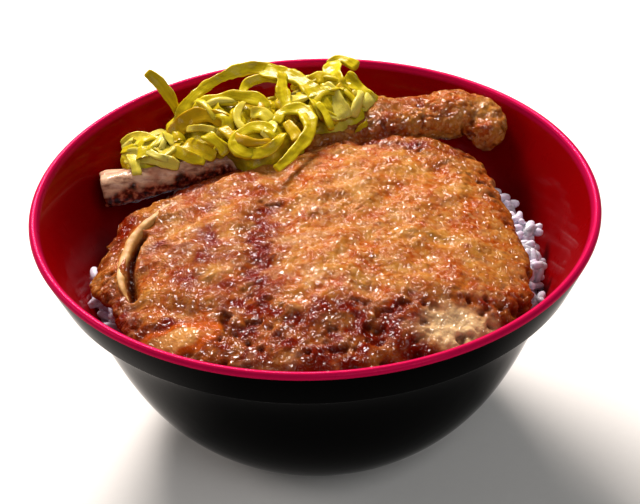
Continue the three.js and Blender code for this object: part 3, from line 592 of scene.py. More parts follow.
def pickled_mustard(main, deep, light):
    """Mustard stem, salted and pickled, then shredded: limp, translucent and wet, with fibres along
    each strip, olive where it is bruised, and painted shade in the hollows of the heaps."""
    material, tree, shader = surface(
        "Pickled mustard stem", IOR=1.4, Specular_IOR_Level=0.08, Coat_Weight=0.1, Coat_Roughness=0.1,
        Subsurface_Weight=0.35, Subsurface_Radius=(1.0, 0.8, 0.25), Subsurface_Scale=1.6 * MM,
    )
    place = add(tree, "ShaderNodeTexCoord", out="Object")
    along, across, tone, depth = (add(tree, "ShaderNodeAttribute", out="Fac", attribute_name=name)
                                  for name in ("along", "across", "tone", "depth"))
    # Fibres that follow each strip: 10 mm long and about 0.7 mm apart.
    length = add(tree, "ShaderNodeMath", {0: along, 1: 0.1}, operation="MULTIPLY")
    breadth = add(tree, "ShaderNodeMath", {0: across, 1: 4.0}, operation="MULTIPLY")
    shift = add(tree, "ShaderNodeMath", {0: tone, 1: 37.0}, operation="MULTIPLY")
    strand = add(tree, "ShaderNodeCombineXYZ", {0: length, 1: breadth, 2: shift})
    fibre = add(tree, "ShaderNodeTexNoise", {"Vector": strand, "Scale": 1.0, "Detail": 3.0, "Roughness": 0.6})
    blotch = add(tree, "ShaderNodeTexNoise", {"Vector": place, "Scale": per_mm(7), "Detail": 3.0})
    both = add(tree, "ShaderNodeMath", {0: blotch, 1: fibre}, operation="ADD")
    body = add(tree, "ShaderNodeMapRange", {"Value": both, "From Min": 0.7, "From Max": 1.15})
    body = add(tree, "ShaderNodeMix", {0: body, 6: (*deep, 1.0), 7: (*main, 1.0)}, out=2, data_type="RGBA")
    amber = add(tree, "ShaderNodeMapRange", {"Value": tone, "From Min": 0.35, "From Max": 0.0, "To Max": 0.8})
    body = add(tree, "ShaderNodeMix", {0: amber, 6: body, 7: shade("#b88a12")}, out=2, data_type="RGBA")
    milky = add(tree, "ShaderNodeMapRange", {"Value": tone, "From Min": 0.6, "From Max": 1.0, "To Max": 0.8})
    body = add(tree, "ShaderNodeMix", {0: milky, 6: body, 7: (*light, 1.0)}, out=2, data_type="RGBA")
    # Painted shade, a darker olive, in the hollows of the heaps.
    body = add(tree, "ShaderNodeMix", {0: depth, 6: body, 7: shade("#86700c")}, out=2, data_type="RGBA")
    ridge = add(tree, "ShaderNodeBump", {"Height": fibre, "Strength": 0.3, "Distance": 0.5 * MM})
    vein = add(tree, "ShaderNodeTexNoise", {"Vector": place, "Scale": per_mm(2.0), "Detail": 3.0})
    skin = add(tree, "ShaderNodeBump",
               {"Height": vein, "Strength": 0.3, "Distance": 0.6 * MM, "Normal": ridge})
    wet = add(tree, "ShaderNodeMapRange", {"Value": blotch, "From Min": 0.3, "From Max": 0.7,
                                           "To Min": 0.16, "To Max": 0.32})
    tree.links.new(body, shader.inputs["Base Color"])
    tree.links.new(wet, shader.inputs["Roughness"])
    tree.links.new(skin, shader.inputs["Normal"])
    return material


def painted_table(colour):
    """A studio table, rolled with matt emulsion: even and pale, with a faint roller stipple."""
    material, tree, shader = surface("Matt emulsion paint", Roughness=0.6, Specular_IOR_Level=0.3)
    place = add(tree, "ShaderNodeTexCoord", out="Object")
    stipple = add(tree, "ShaderNodeTexNoise", {"Vector": place, "Scale": per_mm(3), "Detail": 2.0})
    tone = add(tree, "ShaderNodeMix", {0: stipple, 6: (*colour, 1.0), 7: (*(c * 0.97 for c in colour), 1.0)},
               out=2, data_type="RGBA")
    bump = add(tree, "ShaderNodeBump", {"Height": stipple, "Strength": 0.05, "Distance": 0.2 * MM})
    tree.links.new(tone, shader.inputs["Base Color"])
    tree.links.new(bump, shader.inputs["Normal"])
    return material


# ---- bowl ------------------------------------------------------------------------------------------


def cubic(points, count):
    """A cubic Bezier arc through four control points, from its first to its last."""
    t = np.linspace(0, 1, count)[:, None]
    a, b, c, d = (np.array(p, float) for p in points)
    return (1 - t) ** 3 * a + 3 * (1 - t) ** 2 * t * b + 3 * (1 - t) * t**2 * c + t**3 * d


# The inside's section, as radius and height, from the lip down to the floor.
INSIDE = cubic([(87.3, 82.65), (73.5, 60), (68, 24), (42, FLOOR_Z)], 60)


def wall_radius(z):
    """Radius of the bowl's inside at a height."""
    return np.interp(z, INSIDE[::-1, 1], INSIDE[::-1, 0])


def eased(corners, radius):
    """A line through corners with each one eased by a quadratic arc of the given radius, and guarded by
    a point before and after so that smooth shading stays near the corner."""
    p = np.array(corners, float)
    out = [p[0]]
    for before, here, after in zip(p[:-2], p[1:-1], p[2:]):
        back, on = unit(before - here), unit(after - here)
        reach = min(radius, 0.45 * np.linalg.norm(before - here), 0.45 * np.linalg.norm(after - here))
        out.append(here + back * reach * 1.1)
        for t in (0.0, 0.25, 0.5, 0.75, 1.0):
            first, last = here + back * reach, here + on * reach
            out.append((1 - t) ** 2 * first + 2 * t * (1 - t) * here + t * t * last)
        out.append(here + on * reach * 1.1)
    return np.array(out + [p[-1]])


def build_bowl(s):
    """The bowl is its section turned about the upright axis: inside from the middle of the floor up to
    the lip, a half round lip, and the outside down over the collar and the ridge to the foot ring. Each
    corner is a radius and a height."""
    sides = 256
    rim, high, lip = s.rim_radius / MM, s.height / MM, s.lip_radius / MM
    ridge = s.ridge_radius / MM
    floor = np.array([(14, 7.1), (28, 7.3), (38, 7.5)])
    a = np.linspace(math.pi, -0.25, 22)[1:]
    edge = np.stack([rim - lip + lip * np.cos(a), high - lip + lip * np.sin(a)], -1)
    collar = eased([edge[-1] + (0, -0.4), (ridge, 69.7), (ridge - 0.7, 68.9), (ridge - 2.9, 68.5),
                    (81.4, 66.5)], 0.35)
    body = cubic([(ridge - 2.9, 68.5), (70.5, 50), (70.5, 24), (45.5, 5.6)], 44)[2:-1]
    foot = eased([(46.5, 6.0), (45.5, 5.6), (41.5, 4.6), (41, 0.6), (40.4, 0), (36.6, 0), (35.2, 3),
                  (20, 3)], 0.4)
    section = np.vstack([floor, INSIDE[::-1], edge, collar[1:-1], body, foot[1:], [(8, 3)]])
    a = -2 * math.pi * np.arange(sides) / sides
    turn = np.stack([np.cos(a), np.sin(a)], -1)
    level = np.broadcast_to(section[:, None, 1:], (len(section), sides, 1))
    rings = np.concatenate([section[:, None, :1] * turn[None], level], -1)
    solid = loft(rings, np.array([0, 0, 7.0]), np.array([0, 0, 3.0]))
    red = lacquer("Red urethane lacquer", s.inside_colour, 0.16, 1.35, 0.15, 0.25, tuple(s.lip_colour))
    black = lacquer("Black urethane lacquer", s.outside_colour, 1.0, 1.05, 0.0, 0.3)
    new_piece("lacquered_bowl", [solid], [red, black], "bowl",
              second_from=sides * (len(floor) + len(INSIDE) + len(edge) - 1))


# ---- pork chop -------------------------------------------------------------------------------------


def chop_mid(x, y):
    """Middle layer of the slab: it droops with the square of the distance from its crown, and tilts."""
    return CHOP_MID_Z - 0.0019 * x * x - 0.0006 * (y - 10) ** 2 + 0.018 * x


def crags(x, y, height):
    """Lumps of the crust in two sizes, 8 mm and 4 mm."""
    return height * (noise(x / 8, y / 8, 0, 1) + 0.5 * noise(x / 4, y / 4, 0, 2))


def crust_relief(points, rugged):
    """Height of the fried crust over the meat, and how deep each point lies in it, from 0 to 1: lumps
    of 5 mm, domes of 2.6 mm and beads of 1.35 mm round scattered points, wrinkles of 1.8 mm, and gaps
    between clumps."""
    warped = points + 0.6 * np.stack([rough(points, 3, 300 + n, 2) for n in range(3)], -1)
    large, tone = pebbles(warped, 2.6, 71)
    small, _ = pebbles(warped, 1.35, 75)
    dome = (1 - smooth(large / 0.8)) * (0.5 + tone)
    bead = 1 - smooth(small / 0.75)
    wrinkles = rough(warped, 1.8, 91, 2)
    gap = smooth((rough(points, 3.4, 31, 2) - 0.62 + 0.4 * rugged) / 0.5)
    height = 0.24 * rough(points, 5.0, 21, 2) + 0.36 * (dome - 0.4) + 0.12 * (bead - 0.4) + 0.12 * wrinkles
    height = height * (0.8 + 0.7 * rugged) - (0.15 + 0.85 * rugged) * gap
    # The depth is later painted as shade in the crust's colour.
    depth = np.clip(0.4 - 0.4 * height / (0.6 + 0.6 * rugged), 0, 1) * mix(0.55, 1, smooth(2 * rugged))
    return height, depth


def chop_zones(x, y):
    """Shares of sauce, pale starch and bare fat over the slab, and how rugged the crust is there. The sauce
    share along the front and the outer edge is partly painted shade.
    """
    stray = 5 * noise(x / 9, y / 9, 0, 41)
    crease = np.exp(-((distance_to_line(x + 0.5 * stray, y, SAUCE_CREASE) / 6) ** 2))
    second = np.exp(-((distance_to_line(x + 0.4 * stray, y, SAUCE_SIDE) / 3.4) ** 2))
    # The front and the outer edge take sauce colour that is partly painted shade, and a more rugged crust.
    front = smooth((-47 - y + stray + 0.1 * x) / 10)
    behind = np.exp(-((distance_to_line(x, y, SAUCE_BEHIND) / 4) ** 2))
    rim = smooth((np.hypot(x / CHOP_RADII[0], (y - CHOP_CENTRE[1]) / CHOP_RADII[1]) - 0.86) / 0.12)
    wet = np.clip(0.8 * crease + 0.6 * second + front + 0.5 * behind + 0.35 * rim, 0, 1)
    wet = np.clip(wet + 0.6 * smooth((-x - 2) / 30) * (0.6 + noise(x / 7, y / 7, 0, 44)), 0, 1)
    wet = np.clip(wet * (0.8 + 0.45 * rough(np.stack([x, y, 0 * x], -1), 4, 48, 2)), 0, 1)
    cream = smooth(1.7 * spot(x, y, *CREAM_SPOT) + 0.35 * noise(x / 4, y / 4, 0, 45) - 0.1)
    fat = smooth(1.6 * spot(x, y, *FAT_SPOT) + 0.3 * noise(x / 5, y / 5, 0, 46) - 0.1)
    rugged = np.clip(0.5 * crease + 0.8 * front + 0.4 * behind + 0.9 * rim, 0, 1) * (1 - 0.8 * fat)
    return wet * (1 - cream), cream * (1 - fat), fat, rugged


def slab(s):
    """The slab: at share q of the way from its centre to the outline, the top stands above the middle
    layer by half the thickness times (1 - q^5)^(1/2.2), and the underside the same below. Crags, the
    crease and the crust stand out from that."""
    sides, rows_top, rows_under = 700, 112, 27
    edge = curve_through(CHOP_OUTLINE, np.arange(sides) / sides, closed=True)[::-1]
    half = s.thickness / MM / 2
    q = np.linspace(0, 1, 2000)
    bulge = half * (1 - q**5) ** (1 / 2.2)
    run = np.concatenate([[0], np.cumsum(np.hypot(np.diff(CHOP_RADII[0] * q), np.diff(bulge)))])
    top = np.interp(np.linspace(0, run[-1], rows_top + 1)[1:], run, q)
    under = np.interp(np.linspace(0, run[-1], rows_under + 2)[1:-1], run, q)[::-1]
    share = np.concatenate([top, under])[:, None]
    upper = np.concatenate([np.ones(rows_top), np.full(rows_under, -1.0)])[:, None]
    wave = 0.032 * noise(edge[:, 0] / 11, edge[:, 1] / 11, 0, 5)
    ripple = 1 + share**4 * (wave + 0.012 * noise(edge[:, 0] / 4, edge[:, 1] / 4, 0, 6))[None]
    x = mix(CHOP_CENTRE[0], edge[None, :, 0], share * ripple)
    y = mix(CHOP_CENTRE[1], edge[None, :, 1], share * ripple)
    thick = half * (1 - np.minimum(share, 1) ** 5) ** (1 / 2.2)
    fade = mix(1, 0.4, share**8)
    grooves = 2.4 * np.exp(-((distance_to_line(x, y, CREASE) / 7) ** 2))
    grooves = grooves + 2.2 * np.exp(-((distance_to_line(x, y, FAT_GROOVE) / 3) ** 2))
    relief = np.where(upper > 0, (crags(x, y, s.crag_height / MM) - grooves) * fade, 0)
    rings = np.stack([x, y, chop_mid(x, y) + upper * thick + relief], -1)
    cx, cy = CHOP_CENTRE
    poles = [np.array([cx, cy, chop_mid(cx, cy) + side * half]) for side in (1, -1)]
    wet, cream, fat, rugged = chop_zones(x, y)
    height, depth = crust_relief(rings, rugged)
    height = mix(height, 0.35 * rough(rings, 6, 51, 2), fat)
    depth = mix(depth, 0.15, fat)
    # The slit is cut down into the top and takes the darkest painted shade.
    cut = np.exp(-((distance_to_line(x, y, SLIT) / 1.5) ** 4)) * (upper > 0)
    out = outward(rings, poles[0], poles[1])
    rings = rings + out * (height * mix(0.5, 1, (upper > 0)))[..., None]
    rings[..., 2] -= 4.2 * cut
    top_pole = poles[0] + (0, 0, crags(cx, cy, s.crag_height / MM))
    return loft(rings, top_pole, poles[1], depth=np.maximum(depth, cut), wet=wet, cream=cream, fat=fat)


def tail(s):
    """The thick tail and its knob: an oval carried along its curve, with the same crust."""
    steps, sides = 250, 150
    t = (np.arange(steps) + 0.5) / steps
    filled = (1 + 0.13 * noise(t * 9, 0.5, 0, 11)) * round_ends(t, 6)
    width = TAIL_HALF_SIZE[0] * mix(1, 0.9, smooth(1.4 * t - 0.4)) * filled
    rings, first, last = sweep(TAIL, t, width, TAIL_HALF_SIZE[1] * filled, sides)
    rings[..., 2] += 0.9 * crags(rings[..., 0] + 40, rings[..., 1] + rings[..., 2], s.crag_height / MM)
    height, depth = crust_relief(rings + 200, 0.55)
    rings = rings + outward(rings, first, last) * height[..., None]
    wet = np.clip(0.25 + 0.5 * rough(rings, 9, 61, 2), 0, 0.8)
    return loft(rings, first, last, depth=depth, wet=wet, cream=0.0, fat=0.0)


def seam():
    """The strand of meat between the slab and the bone, darkened with painted shade the further it goes
    left, down between them.
    """
    t = (np.arange(120) + 0.5) / 120
    rings, first, last = sweep(SEAM, t, 5.5 * round_ends(t, 3), 3.5 * round_ends(t, 3), 70)
    height, depth = crust_relief(rings, 0.7)
    rings = rings + outward(rings, first, last) * height[..., None]
    # Painted shade, deepest at the left end.
    burnt = mix(0.75, 0.35, t)[:, None]
    return loft(rings, first, last, depth=np.maximum(depth, burnt), wet=0.8, cream=0.0, fat=0.0)


def build_chop(s):
    """Slab, tail, seam and the band of fat along the left edge."""
    crust = fried_crust(s)
    new_piece("fried_crust_slab", [slab(s)], [crust], "pork_chop")
    new_piece("fried_crust_tail", [tail(s)], [crust], "pork_chop")
    new_piece("shaded_crust_seam", [seam()], [crust], "pork_chop")
    t = (np.arange(90) + 0.5) / 90
    rings, first, last = sweep(FAT_BAND, t, 1.6 * round_ends(t, 2.4), 1.5 * round_ends(t, 6), 24, power=3.0)
    rings = rings + outward(rings, first, last) * (0.3 * rough(rings, 3.4, 81, 2))[..., None]
    new_piece("fat_band", [loft(rings, first, last)], [rendered_fat(s.fat)], "pork_chop")


# ---- rib bone --------------------------------------------------------------------------------------


def build_bone(s):
    """The rib: a rounded oblong carried along the bone and narrowing to the meat, with fibres on top
    and a lumpy burnt crust underneath. Its sawn end is flat with an eased edge."""
    steps, sides = 150, 110
    # The first four rings widen over the flat of the sawn end.
    t = np.concatenate([[0, 0, 0, 0], (np.arange(steps) + 0.5) / steps])
    cap = np.concatenate([[0.25, 0.5, 0.75, 0.93], np.ones(steps)])
    bulk = mix(1, 0.66, t) * (1 + 0.05 * noise(t * 7, 3, 0, 21)) * mix(0.82, 1, round_ends(t, 14)) * cap
    rings, first, last = sweep(
        BONE, t, s.width / MM / 2 * bulk, s.thickness / MM / 2 * bulk, sides, roll=-0.35, power=3.0)
    out = outward(rings, first, last)
    side = np.sin(2 * math.pi * np.arange(sides) / sides)
    burnt = smooth((0.25 - side[None] + 0.35 * rough(rings, 5, 25, 2)) / 0.4)
    height, _ = crust_relief(rings, 0.4)
    shreds = noise(rings[..., 0] / 5, rings[..., 1] / 2, rings[..., 2] / 2, 27)
    height = mix(0.2 * shreds + 0.3 * rough(rings, 4, 28, 3), 0.9 * height, burnt)
    rings = rings + out * (height * smooth(cap * 4 - 3)[:, None])[..., None]
    new_piece("rib_bone_shaft", [loft(rings, first, last, depth=burnt)], [cooked_bone(s.colour)],
              "rib_bone")


# ---- rice ------------------------------------------------------------------------------------------


def heap_height(x, y):
    """Height of the heap: highest in the middle, lower in smooth steps towards the wall, banked up at
    the back and hollowed at the dips and under the bone."""
    r = np.hypot(x, y)
    heap = 73 + 4 * smooth(y / 60) * smooth(r / 60) + 0.7 * noise(x / 5, y / 5, 0, 31)
    heap = heap - 9.5 * smooth(1.7 - distance_to_line(x, y, BONE_GAP) / 12)
    for start, over, drop in RICE_FALLS:
        heap = heap - drop * smooth((r - start) / over)
    dips = [depth * np.exp(-((np.hypot(x - at[0], y - at[1]) / width) ** 2))
            for at, depth, width in RICE_DIPS]
    return heap - np.maximum(*dips)


def hollows(x, y):
    """Depth of the gaps between clumps of rice near the wall, where the noise is above zero."""
    near = smooth((np.hypot(x, y) - 62) / 5)
    return 6 * near * smooth((noise(x / 6, y / 6, 0, 33) + 0.1) / 0.5)


def room_above(x, y):
    """Lowest underside of the chop over each point, or far up where nothing lies on the rice."""
    outline = curve_through(CHOP_OUTLINE, np.arange(120) / 120, closed=True)
    far_up = 99.0
    under_slab = np.where(inside(outline, x, y), chop_mid(x, y) - SLAB_HALF, far_up)
    under_tail = np.where(distance_to_line(x, y, TAIL) < TAIL_REACH, TAIL_UNDERSIDE_Z, far_up)
    return np.minimum(under_slab, under_tail)


def rice_core():
    """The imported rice: rings out over the heap to the wall, then down the bowl's inside to its floor,
    with lumps of grain size on top."""
    sides = 240
    a = -2 * math.pi * np.arange(sides) / sides
    q = np.linspace(0, 1, 71)[1:, None]
    seat = wall_radius(RICE_SEAT_Z) - 0.6
    x, y = q * seat * np.cos(a), q * seat * np.sin(a)
    z = np.minimum(heap_height(x, y) - hollows(x, y), room_above(x, y) - 0.7)
    top = np.stack([x, y, z], -1)
    lump, _ = pebbles(top, 3.4, 35)
    top[..., 2] += (0.9 * (1 - smooth(lump / 0.9)) - 0.9) * smooth((1 - q) * 12)
    top[..., 2] = np.maximum(top[..., 2], RICE_SEAT_Z + 0.3 * (1 - q))
    down = np.linspace(RICE_SEAT_Z - 2, FLOOR_Z + 1, 16)
    r = wall_radius(down) - 0.6
    level = np.broadcast_to(down[:, None], (16, sides))
    side = np.stack([r[:, None] * np.cos(a), r[:, None] * np.sin(a), level], -1)
    first, last = np.array([0, 0, top[0, :, 2].mean()]), np.array([0, 0, FLOOR_Z + 0.6])
    return loft(np.concatenate([top, side]), first, last)


def grains(s):
    """Single grains: spindles laid in a sunflower spread over the ring of rice that shows, turned at
    random, kept under the chop's underside and pressed back inside the wall."""
    ring_start, ring_end = 48.0, 75.5
    clump_grains, clump_radii = 9, (2.6, 2.6, 2.2)
    rng = np.random.default_rng(11)
    count = s.grain_count
    n = np.arange(count)
    r = np.sqrt(mix(ring_start**2, ring_end**2, (n + 0.5) / count)) + rng.uniform(-0.8, 0.8, count)
    a = n * math.pi * (3 - math.sqrt(5)) + rng.uniform(-0.02, 0.02, count)
    x, y = r * np.cos(a), r * np.sin(a)
    z = heap_height(x, y) - hollows(x, y) + rng.uniform(-0.2, 1.5, count)
    # Clumps that stand above the rest.
    piled = np.repeat(np.array(CLUMPS, float), clump_grains, 0)
    spread = rng.normal(0, 1, piled.shape)
    spread = spread / np.linalg.norm(spread, axis=1, keepdims=True) * rng.uniform(0.3, 1, (len(piled), 1))
    piled = piled + spread * clump_radii
    x, y, z = (np.concatenate([v, piled[:, n]]) for n, v in enumerate((x, y, z)))
    keep = (z + 2.2 < room_above(x * 1.01, y * 1.01)) & (np.hypot(x, y) < wall_radius(z) - 1.2)
    for centre, radii in MOUNDS:
        keep &= np.hypot((x - centre[0]) / radii[0], (y - centre[1]) / radii[1]) > 0.9
    x, y, z, count = x[keep], y[keep], z[keep], int(keep.sum())
    along = unit(rng.normal(0, 1, (count, 3)) * (1, 1, 0.3))
    size = np.stack([rng.uniform(0.88, 1.1, count) * s.grain_width / MM / 2] * 2
                    + [rng.uniform(0.85, 1.12, count) * s.grain_length / MM / 2], -1)
    solid = copies(blob(8, 5, 2.5), facing(along, rng.uniform(0, 6, count)), size, np.stack([x, y, z], -1))
    points = solid[0]
    reach = np.hypot(points[:, 0], points[:, 1])
    pressed = np.minimum(1, (wall_radius(points[:, 2]) - CLEARANCE) / reach)
    points[:, :2] *= pressed[:, None]
    return solid


def build_rice(s):
    """Packed core and the single grains on it."""
    rice = steamed_rice(s.colour)
    new_piece("rice_core", [rice_core()], [rice], "rice")
    new_piece("rice_grains", [grains(s)], [rice], "rice")


# ---- mustard greens --------------------------------------------------------------------------------


def mound(centre, radii, seed):
    """An oval heap of chopped leaf: its radius swells with noise, and ridges of two sizes run over it
    where the noise crosses zero."""
    rows, sides = 90, 150
    b = math.pi * (np.arange(rows) + 0.5)[:, None] / rows
    a = -2 * math.pi * np.arange(sides)[None] / sides
    out = np.stack([np.sin(b) * np.cos(a), np.sin(b) * np.sin(a), np.cos(b) + 0 * a], -1)
    base = out * np.array(radii)
    ridge = 1 - np.abs(rough(base, 8, seed, 1)) - 0.5 * np.abs(rough(base, 4, seed + 5, 1))
    height = 0.84 * rough(base, 12, seed + 9, 2) + 2 * (ridge - 0.8)
    rings = base + unit(out / np.array(radii)) * height[..., None] + np.array(centre)
    # Painted shade between the ridges.
    depth = smooth((0.75 - ridge) / 0.6)
    poles = [np.array(centre) + (0, 0, side * radii[2]) for side in (1, -1)]
    return loft(rings, *poles, depth=0.75 * depth, along=rings[..., 0], across=rings[..., 1] / 4,
                tone=0.5 + 0.5 * rough(base, 6, seed + 13, 2))


def strip(spine, width, thickness, seed, face, cup, sides, spacing, tone=None, ruffle=0.0):
    """One strip of stem: a flattened section along its spine, full in the middle, narrower at its cut
    ends, waving in width and thickness, with its edges lifted and its flat side towards face. Its tone
    comes from the seed where none is given."""
    length = np.linalg.norm(np.diff(np.array(spine, float), axis=0), axis=1).sum()
    steps = max(10, int(length / spacing))
    t = (np.arange(steps) + 0.5) / steps
    filled = mix(0.5, 1, round_ends(t, 8)) * smooth(np.minimum(t, 1 - t) * steps + 0.35)
    w = width / 2 * filled * (1 + 0.24 * noise(t * length / 6, seed, 0, 53))
    h = thickness / 2 * filled * (1 + 0.2 * noise(t * length / 5, seed, 0, 54))
    turn = 0.5 * noise(2 * t, seed, 0, 51)
    rings, first, last = sweep(spine, t, w, h, sides, face, turn, 2.3, cup, ruffle, seed)
    lumps = min(0.09 * width, 0.55) * rough(rings, 3.6, 57, 3)
    rings = rings + outward(rings, first, last) * lumps[..., None]
    across = np.cos(2 * math.pi * np.arange(sides) / sides) * width / 6
    own = float(lattice(seed, 3, 0, 55)) if tone is None else tone
    return loft(rings, first, last, along=(t * length)[:, None], across=across[None], tone=own, depth=0.0)


def loose_strips(count, seed, low, high, widths, thickness, ruffle):
    """Strips laid over the mounds: each starts at a seeded place on a mound and follows its surface in
    a straight plan, arched a little, with its ends tucked in."""
    rng = np.random.default_rng(seed)
    made = []
    for n in range(count):
        centre, radii = (np.array(v, float) for v in MOUNDS[rng.choice(len(MOUNDS), p=MOUND_SHARES)])
        a, b = rng.uniform(0, 2 * math.pi), rng.uniform(0.1, 1.3)
        here = np.array([math.sin(b) * math.cos(a), math.sin(b) * math.sin(a), math.cos(b)]) * radii
        heading, length = rng.uniform(0, 2 * math.pi), rng.uniform(low, high)
        u = np.linspace(-0.5, 0.5, 5)[:, None]
        bend = rng.uniform(-0.35, 0.35) * length
        level = np.array([math.cos(heading), math.sin(heading), 0])
        beside = np.array([-level[1], level[0], 0])
        way = here + level * u * length + beside * bend * (1 - 4 * u * u)
        on = way / radii
        on = on / np.linalg.norm(on, axis=1, keepdims=True)
        up = unit(on / radii)
        way = on * radii + up * (rng.uniform(0.6, 2.2) * (1 - 4 * u * u) + 0.3) + centre
        made.append(strip(way, rng.uniform(*widths), thickness, 100 + n, up[2], rng.uniform(-0.1, 0.2), 12,
                          1.0, ruffle=ruffle))
    return made


def build_greens(s):
    """Mounds of chopped leaf, the strips that can be told apart, loose strips and frilly bits of leaf."""
    stem = pickled_mustard(s.colour, s.bruised, s.pale)
    heap = [mound(centre, radii, 61 + 20 * n) for n, (centre, radii) in enumerate(MOUNDS)]
    wide, thick = s.strip_width / MM, s.strip_thickness / MM
    diner = unit(np.array([0, -0.6, 0.8]))
    told = [strip(spine, wide * share, thick * 0.85, n, diner, 0.35, 20, 0.6, tone)
            for n, (spine, share, tone) in enumerate(STRIPS)]
    told += [strip(spine, width, thick * 0.7, 40 + n, diner, 0.3, 20, 0.6, tone)
             for n, (spine, width, tone) in enumerate(CURLS)]
    new_piece("mustard_heap", heap, [stem], "mustard_greens")
    new_piece("mustard_strips", told, [stem], "mustard_greens")
    loose = loose_strips(s.loose_count, 5, 8, 20, (2.4, 4.6), thick * 0.7, 0.0)
    leaves = loose_strips(s.leaf_count, 6, 5, 10, (3, 5.5), 0.8, 0.9)
    new_piece("mustard_shreds", loose + leaves, [stem], "mustard_greens")


# ---- stage -----------------------------------------------------------------------------------------


# The photograph's width and focal length in its own pixels, and where its camera stood, in metres: its
# place, the point it looked at and how far it leant to one side.
PHOTO_WIDTH, FOCAL_LENGTH = 640, 1577.5
SENSOR_WIDTH = 36.0
CAMERA_PLACE = (0, -0.4182, 0.35807)
CAMERA_TARGET = (0.00118, 0, 0.06108)
CAMERA_LEAN = math.radians(-2.013)
LIGHTS_TARGET = (0, 0, 0.07)


def aimed(place, target, lean=0.0):
    """The matrix of an object that looks from a place at a target along its own -Z, with its up near
    the world's but for the angle that it leans."""
    ahead = unit(np.array(target, float) - place)
    right = unit(np.cross(ahead, (0, 0, 1)))
    up = np.cross(right, ahead)
    right, up = right * math.cos(lean) + up * math.sin(lean), up * math.cos(lean) - right * math.sin(lean)
    return Matrix([[right[n], up[n], -ahead[n], place[n]] for n in range(3)] + [[0, 0, 0, 1]])


def build_stage(s):
    """A pale table, three soft boxes, and the camera at the angle the photograph was taken from."""
    scene = bpy.context.scene
    reach, count = 3, 25
    u = np.linspace(-reach, reach, count)
    x, y = np.meshgrid(u, u)
    floor = bpy.data.meshes.new("table_top")
    n = np.arange((count - 1) * count).reshape(count - 1, count)[:, :-1]
    floor.from_pydata(np.stack([x, y, 0 * x], -1).reshape(-1, 3).tolist(), [],
                      np.stack([n, n + 1, n + count + 1, n + count], -1).reshape(-1, 4).tolist())
    table = bpy.data.objects.new("table_top", floor)
    floor.materials.append(painted_table(s.table_colour))
    scene.collection.objects.link(table)
    # Name, place and size in metres, power and colour.
    lights = (
        ("back_soft_box", (-0.2, 0.85, 0.8), (0.48, 0.38), s.key_power, linear("#fff4ec")),
        ("front_soft_box", (0.45, -0.85, 0.95), (0.8, 0.8), s.fill_power, (1, 1, 1)),
        ("left_soft_box", (-0.95, 0.05, 0.55), (0.5, 0.5), s.side_power, linear("#fff4ee")),
    )
    for name, place, size, power, colour in lights:
        light = bpy.data.lights.new(name, "AREA")
        light.shape, light.size, light.size_y = "RECTANGLE", *size
        light.energy, light.color = power, colour
        lamp = bpy.data.objects.new(name, light)
        scene.collection.objects.link(lamp)
        lamp.matrix_world = aimed(place, LIGHTS_TARGET)
    world = bpy.data.worlds.new("studio")
    world.use_nodes = True
    background = world.node_tree.nodes["Background"]
    background.inputs["Color"].default_value = (*s.air_colour, 1.0)
    background.inputs["Strength"].default_value = s.air_strength
    scene.world = world
    scene.view_settings.view_transform = "Standard"
    lens = bpy.data.cameras.new("photo_camera")
    lens.sensor_width, lens.lens = SENSOR_WIDTH, FOCAL_LENGTH * SENSOR_WIDTH / PHOTO_WIDTH
    lens.clip_start = 0.01
    camera = bpy.data.objects.new("photo_camera", lens)
    scene.collection.objects.link(camera)
    camera.matrix_world = aimed(CAMERA_PLACE, CAMERA_TARGET, CAMERA_LEAN)
    scene.camera = camera


# ---- add-on ----------------------------------------------------------------------------------------


def length_property(name, description, default):
    return bpy.props.FloatProperty(name=name, description=description, default=default, min=0.0,
                                   unit="LENGTH", precision=4)


def colour_property(name, description, code):
    return bpy.props.FloatVectorProperty(name=name, description=description, default=linear(code), min=0.0,
                                         max=1.0, size=3, subtype="COLOR")


def count_property(name, description, default):
    return bpy.props.IntProperty(name=name, description=description, default=default, min=0)


def power_property(name, description, default):
    return bpy.props.FloatProperty(name=name, description=description, default=default, min=0.0, unit="POWER")


class BowlSettings(bpy.types.PropertyGroup):
    """Sizes and colours of the bowl"""

    rim_radius: length_property("Rim radius", "Outside radius of the lip", 0.090)
    height: length_property("Height", "From the foot ring to the top of the lip", 0.084)
    lip_radius: length_property("Lip radius", "Half the thickness of the rounded lip", 0.00135)
    ridge_radius: length_property("Ridge radius", "Radius of the ridge under the collar", 0.085)
    inside_colour: colour_property("Inside", "Lacquer of the inside", "#860104")
    # The lip's colour is a painted highlight along the top of the lip.
    lip_colour: colour_property("Lip", "Second coat on the lip", "#ba0e44")
    outside_colour: colour_property("Outside", "Lacquer of the outside", "#020202")


class RiceSettings(bpy.types.PropertyGroup):
    """Sizes and colours of the rice"""

    grain_length: length_property("Grain length", "Length of a cooked grain", 0.0066)
    grain_width: length_property("Grain width", "Width of a cooked grain", 0.0031)
    grain_count: count_property("Grains", "Grains laid out before those under the chop are left out", 1300)
    colour: colour_property("Colour", "Cooked rice", "#dcd5e8")


class ChopSettings(bpy.types.PropertyGroup):
    """Sizes and colours of the pork chop"""

    thickness: length_property("Thickness", "Thickness of the slab in its middle", 0.013)
    crag_height: length_property("Crag height", "Height of the crust's lumps", 0.0012)
    golden: colour_property("Golden", "Puffed crust", "#b0742c")
    orange: colour_property("Orange", "Crust under a thin glaze", "#a2440a")
    pale: colour_property("Pale", "Dry granules", "#cc985c")
    # Also partly painted shade along the front and the outer edge of the chop.
    sauce: colour_property("Sauce", "Crust soaked with sauce", "#6c1400")
    # Painted shade at the bottom of the gaps in the crust.
    burnt: colour_property("Burnt", "Bottom of the gaps", "#460600")
    cream: colour_property("Cream", "Pale starch that took no sauce", "#dab684")
    amber: colour_property("Amber", "Edge of the lobe of fat", "#b8520c")
    fat: colour_property("Fat", "Rendered fat", "#c4924e")


